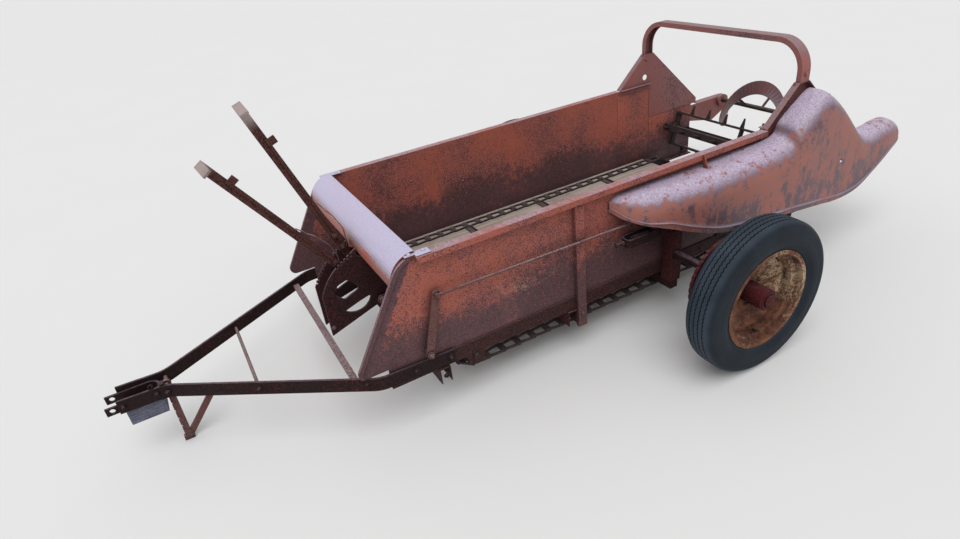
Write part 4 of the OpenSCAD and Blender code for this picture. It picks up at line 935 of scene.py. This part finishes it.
hitchLook = {
    "ring": (0.0105, 0.0016), "ringAt": (2.274, 0.050, 0.3462), "ringTurn": (1.35, 0.35, 0.5),
    "pin": (0.0035, 0.020), "pinAt": (2.268, 0.050, 0.3385),
    "tab": ((2.226, 0.030, 0.300), (2.240, 0.0565, 0.346)), "tabEdge": 0.0015}


# Ring pin and tab on the tongue, behind the clevis
def makeHitchParts():
    look = hitchLook
    eye = ring("ringPin", *look["ring"], 28, spot(*look["ringAt"]), look["ringTurn"])
    pin = bar("pinBody", 12, *look["pin"], spot(*look["pinAt"]))
    tab = block("tongueTab", *look["tab"], look["tabEdge"])
    finish(joined("ringPin", [eye, pin, tab]), "root", "frame_paint")


# Drive chain of hooked steel links, on the same loop as its plain band. Wheels: x, z, radius
driveLook = {
    "pitch": 0.0335, "wide": 0.020, "thick": 0.0055, "y": 0.590, "overlap": 1.08, "frame": 0.0052,
    "hookFrom": 0.9, "hookNarrow": 0.72, "barrel": 0.0046, "barrelLong": 0.98, "barrelIn": 0.001,
    "wheels": [(-0.300, 0.385, 0.0613), (-1.466, 0.527, 0.057), (-1.050, 0.436, 0.071)],
    "arcSteps": 24}


def loopPoints(wheels, steps):
    points = []

    def tangent(a, b):
        dx, dz = b[0] - a[0], b[1] - a[1]
        return math.atan2(dz, dx) - math.acos((a[2] - b[2]) / math.hypot(dx, dz))
    for i, c in enumerate(wheels):
        first = tangent(wheels[i - 1], c)
        sweep = (tangent(c, wheels[(i + 1) % len(wheels)]) - first) % math.tau
        for k in range(steps + 1):
            a = first + sweep * k / steps
            points.append(Vector((c[0] + c[2] * math.cos(a), 0, c[1] + c[2] * math.sin(a))))
    return points + [points[0]]


def makeHookLink(look, length):
    half, wide = length / 2, look["wide"] / 2
    link = begin("cube", "hookLink", size=1, scale=(length * look["overlap"], look["wide"], look["thick"]))
    settle(link)
    edit(link, lambda f: abs(f.normal.z) > 0.9)
    bpy.ops.mesh.inset(thickness=look["frame"])
    bpy.ops.mesh.bridge_edge_loops()
    clear()
    for v in link.data.vertices:
        if v.co.x > half * look["hookFrom"] and abs(v.co.y) > wide * look["hookFrom"]:
            v.co.y *= look["hookNarrow"]
    barrel = bar("linkBarrel", 10, look["barrel"], look["wide"] * look["barrelLong"],
                 (-half + look["barrelIn"], 0, 0), (math.pi / 2, 0, 0))
    return joined("hookLink", [link, barrel])


def makeDriveChain():
    look = driveLook
    points = loopPoints(look["wheels"], look["arcSteps"])
    lengths = [0.0]
    for a, b in zip(points, points[1:]):
        lengths.append(lengths[-1] + (b - a).length)
    count = round(lengths[-1] / look["pitch"])
    step = lengths[-1] / count

    def pointAt(reach):
        k = max(j for j in range(len(lengths) - 1) if lengths[j] <= reach + 1e-9)
        share = (reach - lengths[k]) / max(lengths[k + 1] - lengths[k], 1e-9)
        return points[k].lerp(points[k + 1], share)
    link = makeHookLink(look, step)
    made = []
    for i in range(count):
        start, end = pointAt(i * step), pointAt((i + 1) % count * step)
        middle, way = (start + end) / 2, end - start
        made.append(placed(link, Matrix.Translation(spot(middle.x, look["y"], middle.z))
                           @ Matrix.Rotation(-math.atan2(way.z, way.x), 4, "Y")))
    drop(link)
    finish(joined("driveChain", made), "root", "dark_steel", ["drive_chain"])


# Raised barrels of the apron chains' joints, over the top and return runs
apronLook = {
    "pitch": 0.080, "first": -0.860, "runs": 24, "y": 0.447, "top": 0.2948, "drop": 0.160,
    "raised": 0.0016, "barrel": 0.0066, "long": 0.050, "edge": 0.0008}


def makeApronBarrels():
    look = apronLook
    barrel = bar("apronBarrel", 12, look["barrel"], look["long"], turn=(math.pi / 2, 0, 0), edge=look["edge"],
                 segments=1)
    made = []
    for side in (1, -1):
        for i in range(look["runs"] + 1):
            for z in (look["top"] + look["raised"], look["top"] - look["drop"] - look["raised"]):
                place = spot(look["first"] + look["pitch"] * i, look["y"] * side, z)
                made.append(placed(barrel, Matrix.Translation(place)))
    drop(barrel)
    finish(joined("apronBarrels", made), "root", "dark_steel")


# A slot's name in the way that the finishes are named: side_paint becomes sidePaint
def camel(name):
    first, *rest = name.split("_")
    return first + "".join(word.capitalize() for word in rest)


makeCamera()
makeStudio()
print("camera and studio made")

paints = {
    "side_paint": sidePaint, "hood_paint": hoodPaint, "fender_paint": fenderPaint,
    "frame_paint": framePaint, "lever_paint": leverPaint, "hub_paint": hubPaint, "dark_steel": darkSteel,
    "rod_steel": rodSteel, "archPaint": archPaint, "sillPaint": sillPaint, "panelPaint": panelPaint,
    "quadrantPaint": quadrantPaint, "bladeSteel": bladeSteel}
finishes = {name: rustyPaint(camel(name), look) for name, look in paints.items()}
finishes.update({"rim_rust": rimFinish(spot(0, 0, tyreLook["height"])), "tyre": rubberFinish(),
                 "floor_wood": boardFinish(), "block_wood": blockFinish()})
# Nodes whose paint has aged otherwise than the rest of their slot
agedOtherwise = {
    "archPaint": ["arch", "gusset_left", "gusset_right", "rear_arm_left", "rear_arm_right"],
    "sillPaint": ["sill_left", "sill_right", "cross_sills"], "quadrantPaint": ["control_quadrant"],
    "panelPaint": ["side_left", "side_right"], "bladeSteel": ["widespread_blades"]}
finishNames = {s["node"]: s["material_slot"] for s in frame["record"]["subparts"]}
finishNames.update({node: name for name, group in agedOtherwise.items() for node in group})
for name, node in nodes.items():
    node.data.materials.clear()
    node.data.materials.append(finishes[finishNames[name]])
print("finishes made and given to the nodes")

makeShell()
sides = ("left", "right")
for side in sides:
    makeTyre(side)
print("shell and tyres made")
fasteners = makeFasteners()
makeBolts(fasteners)
makeSmallPlates(fasteners)
makeTightener()
for side in sides:
    makeLatch(side)
for side in sides:
    makeHubParts(side, fasteners)
makeHitchParts()
drop(*fasteners.values())
print("fasteners, plates, tightener, latches and hub parts made")
makeDriveChain()
makeApronBarrels()
print("chains made")
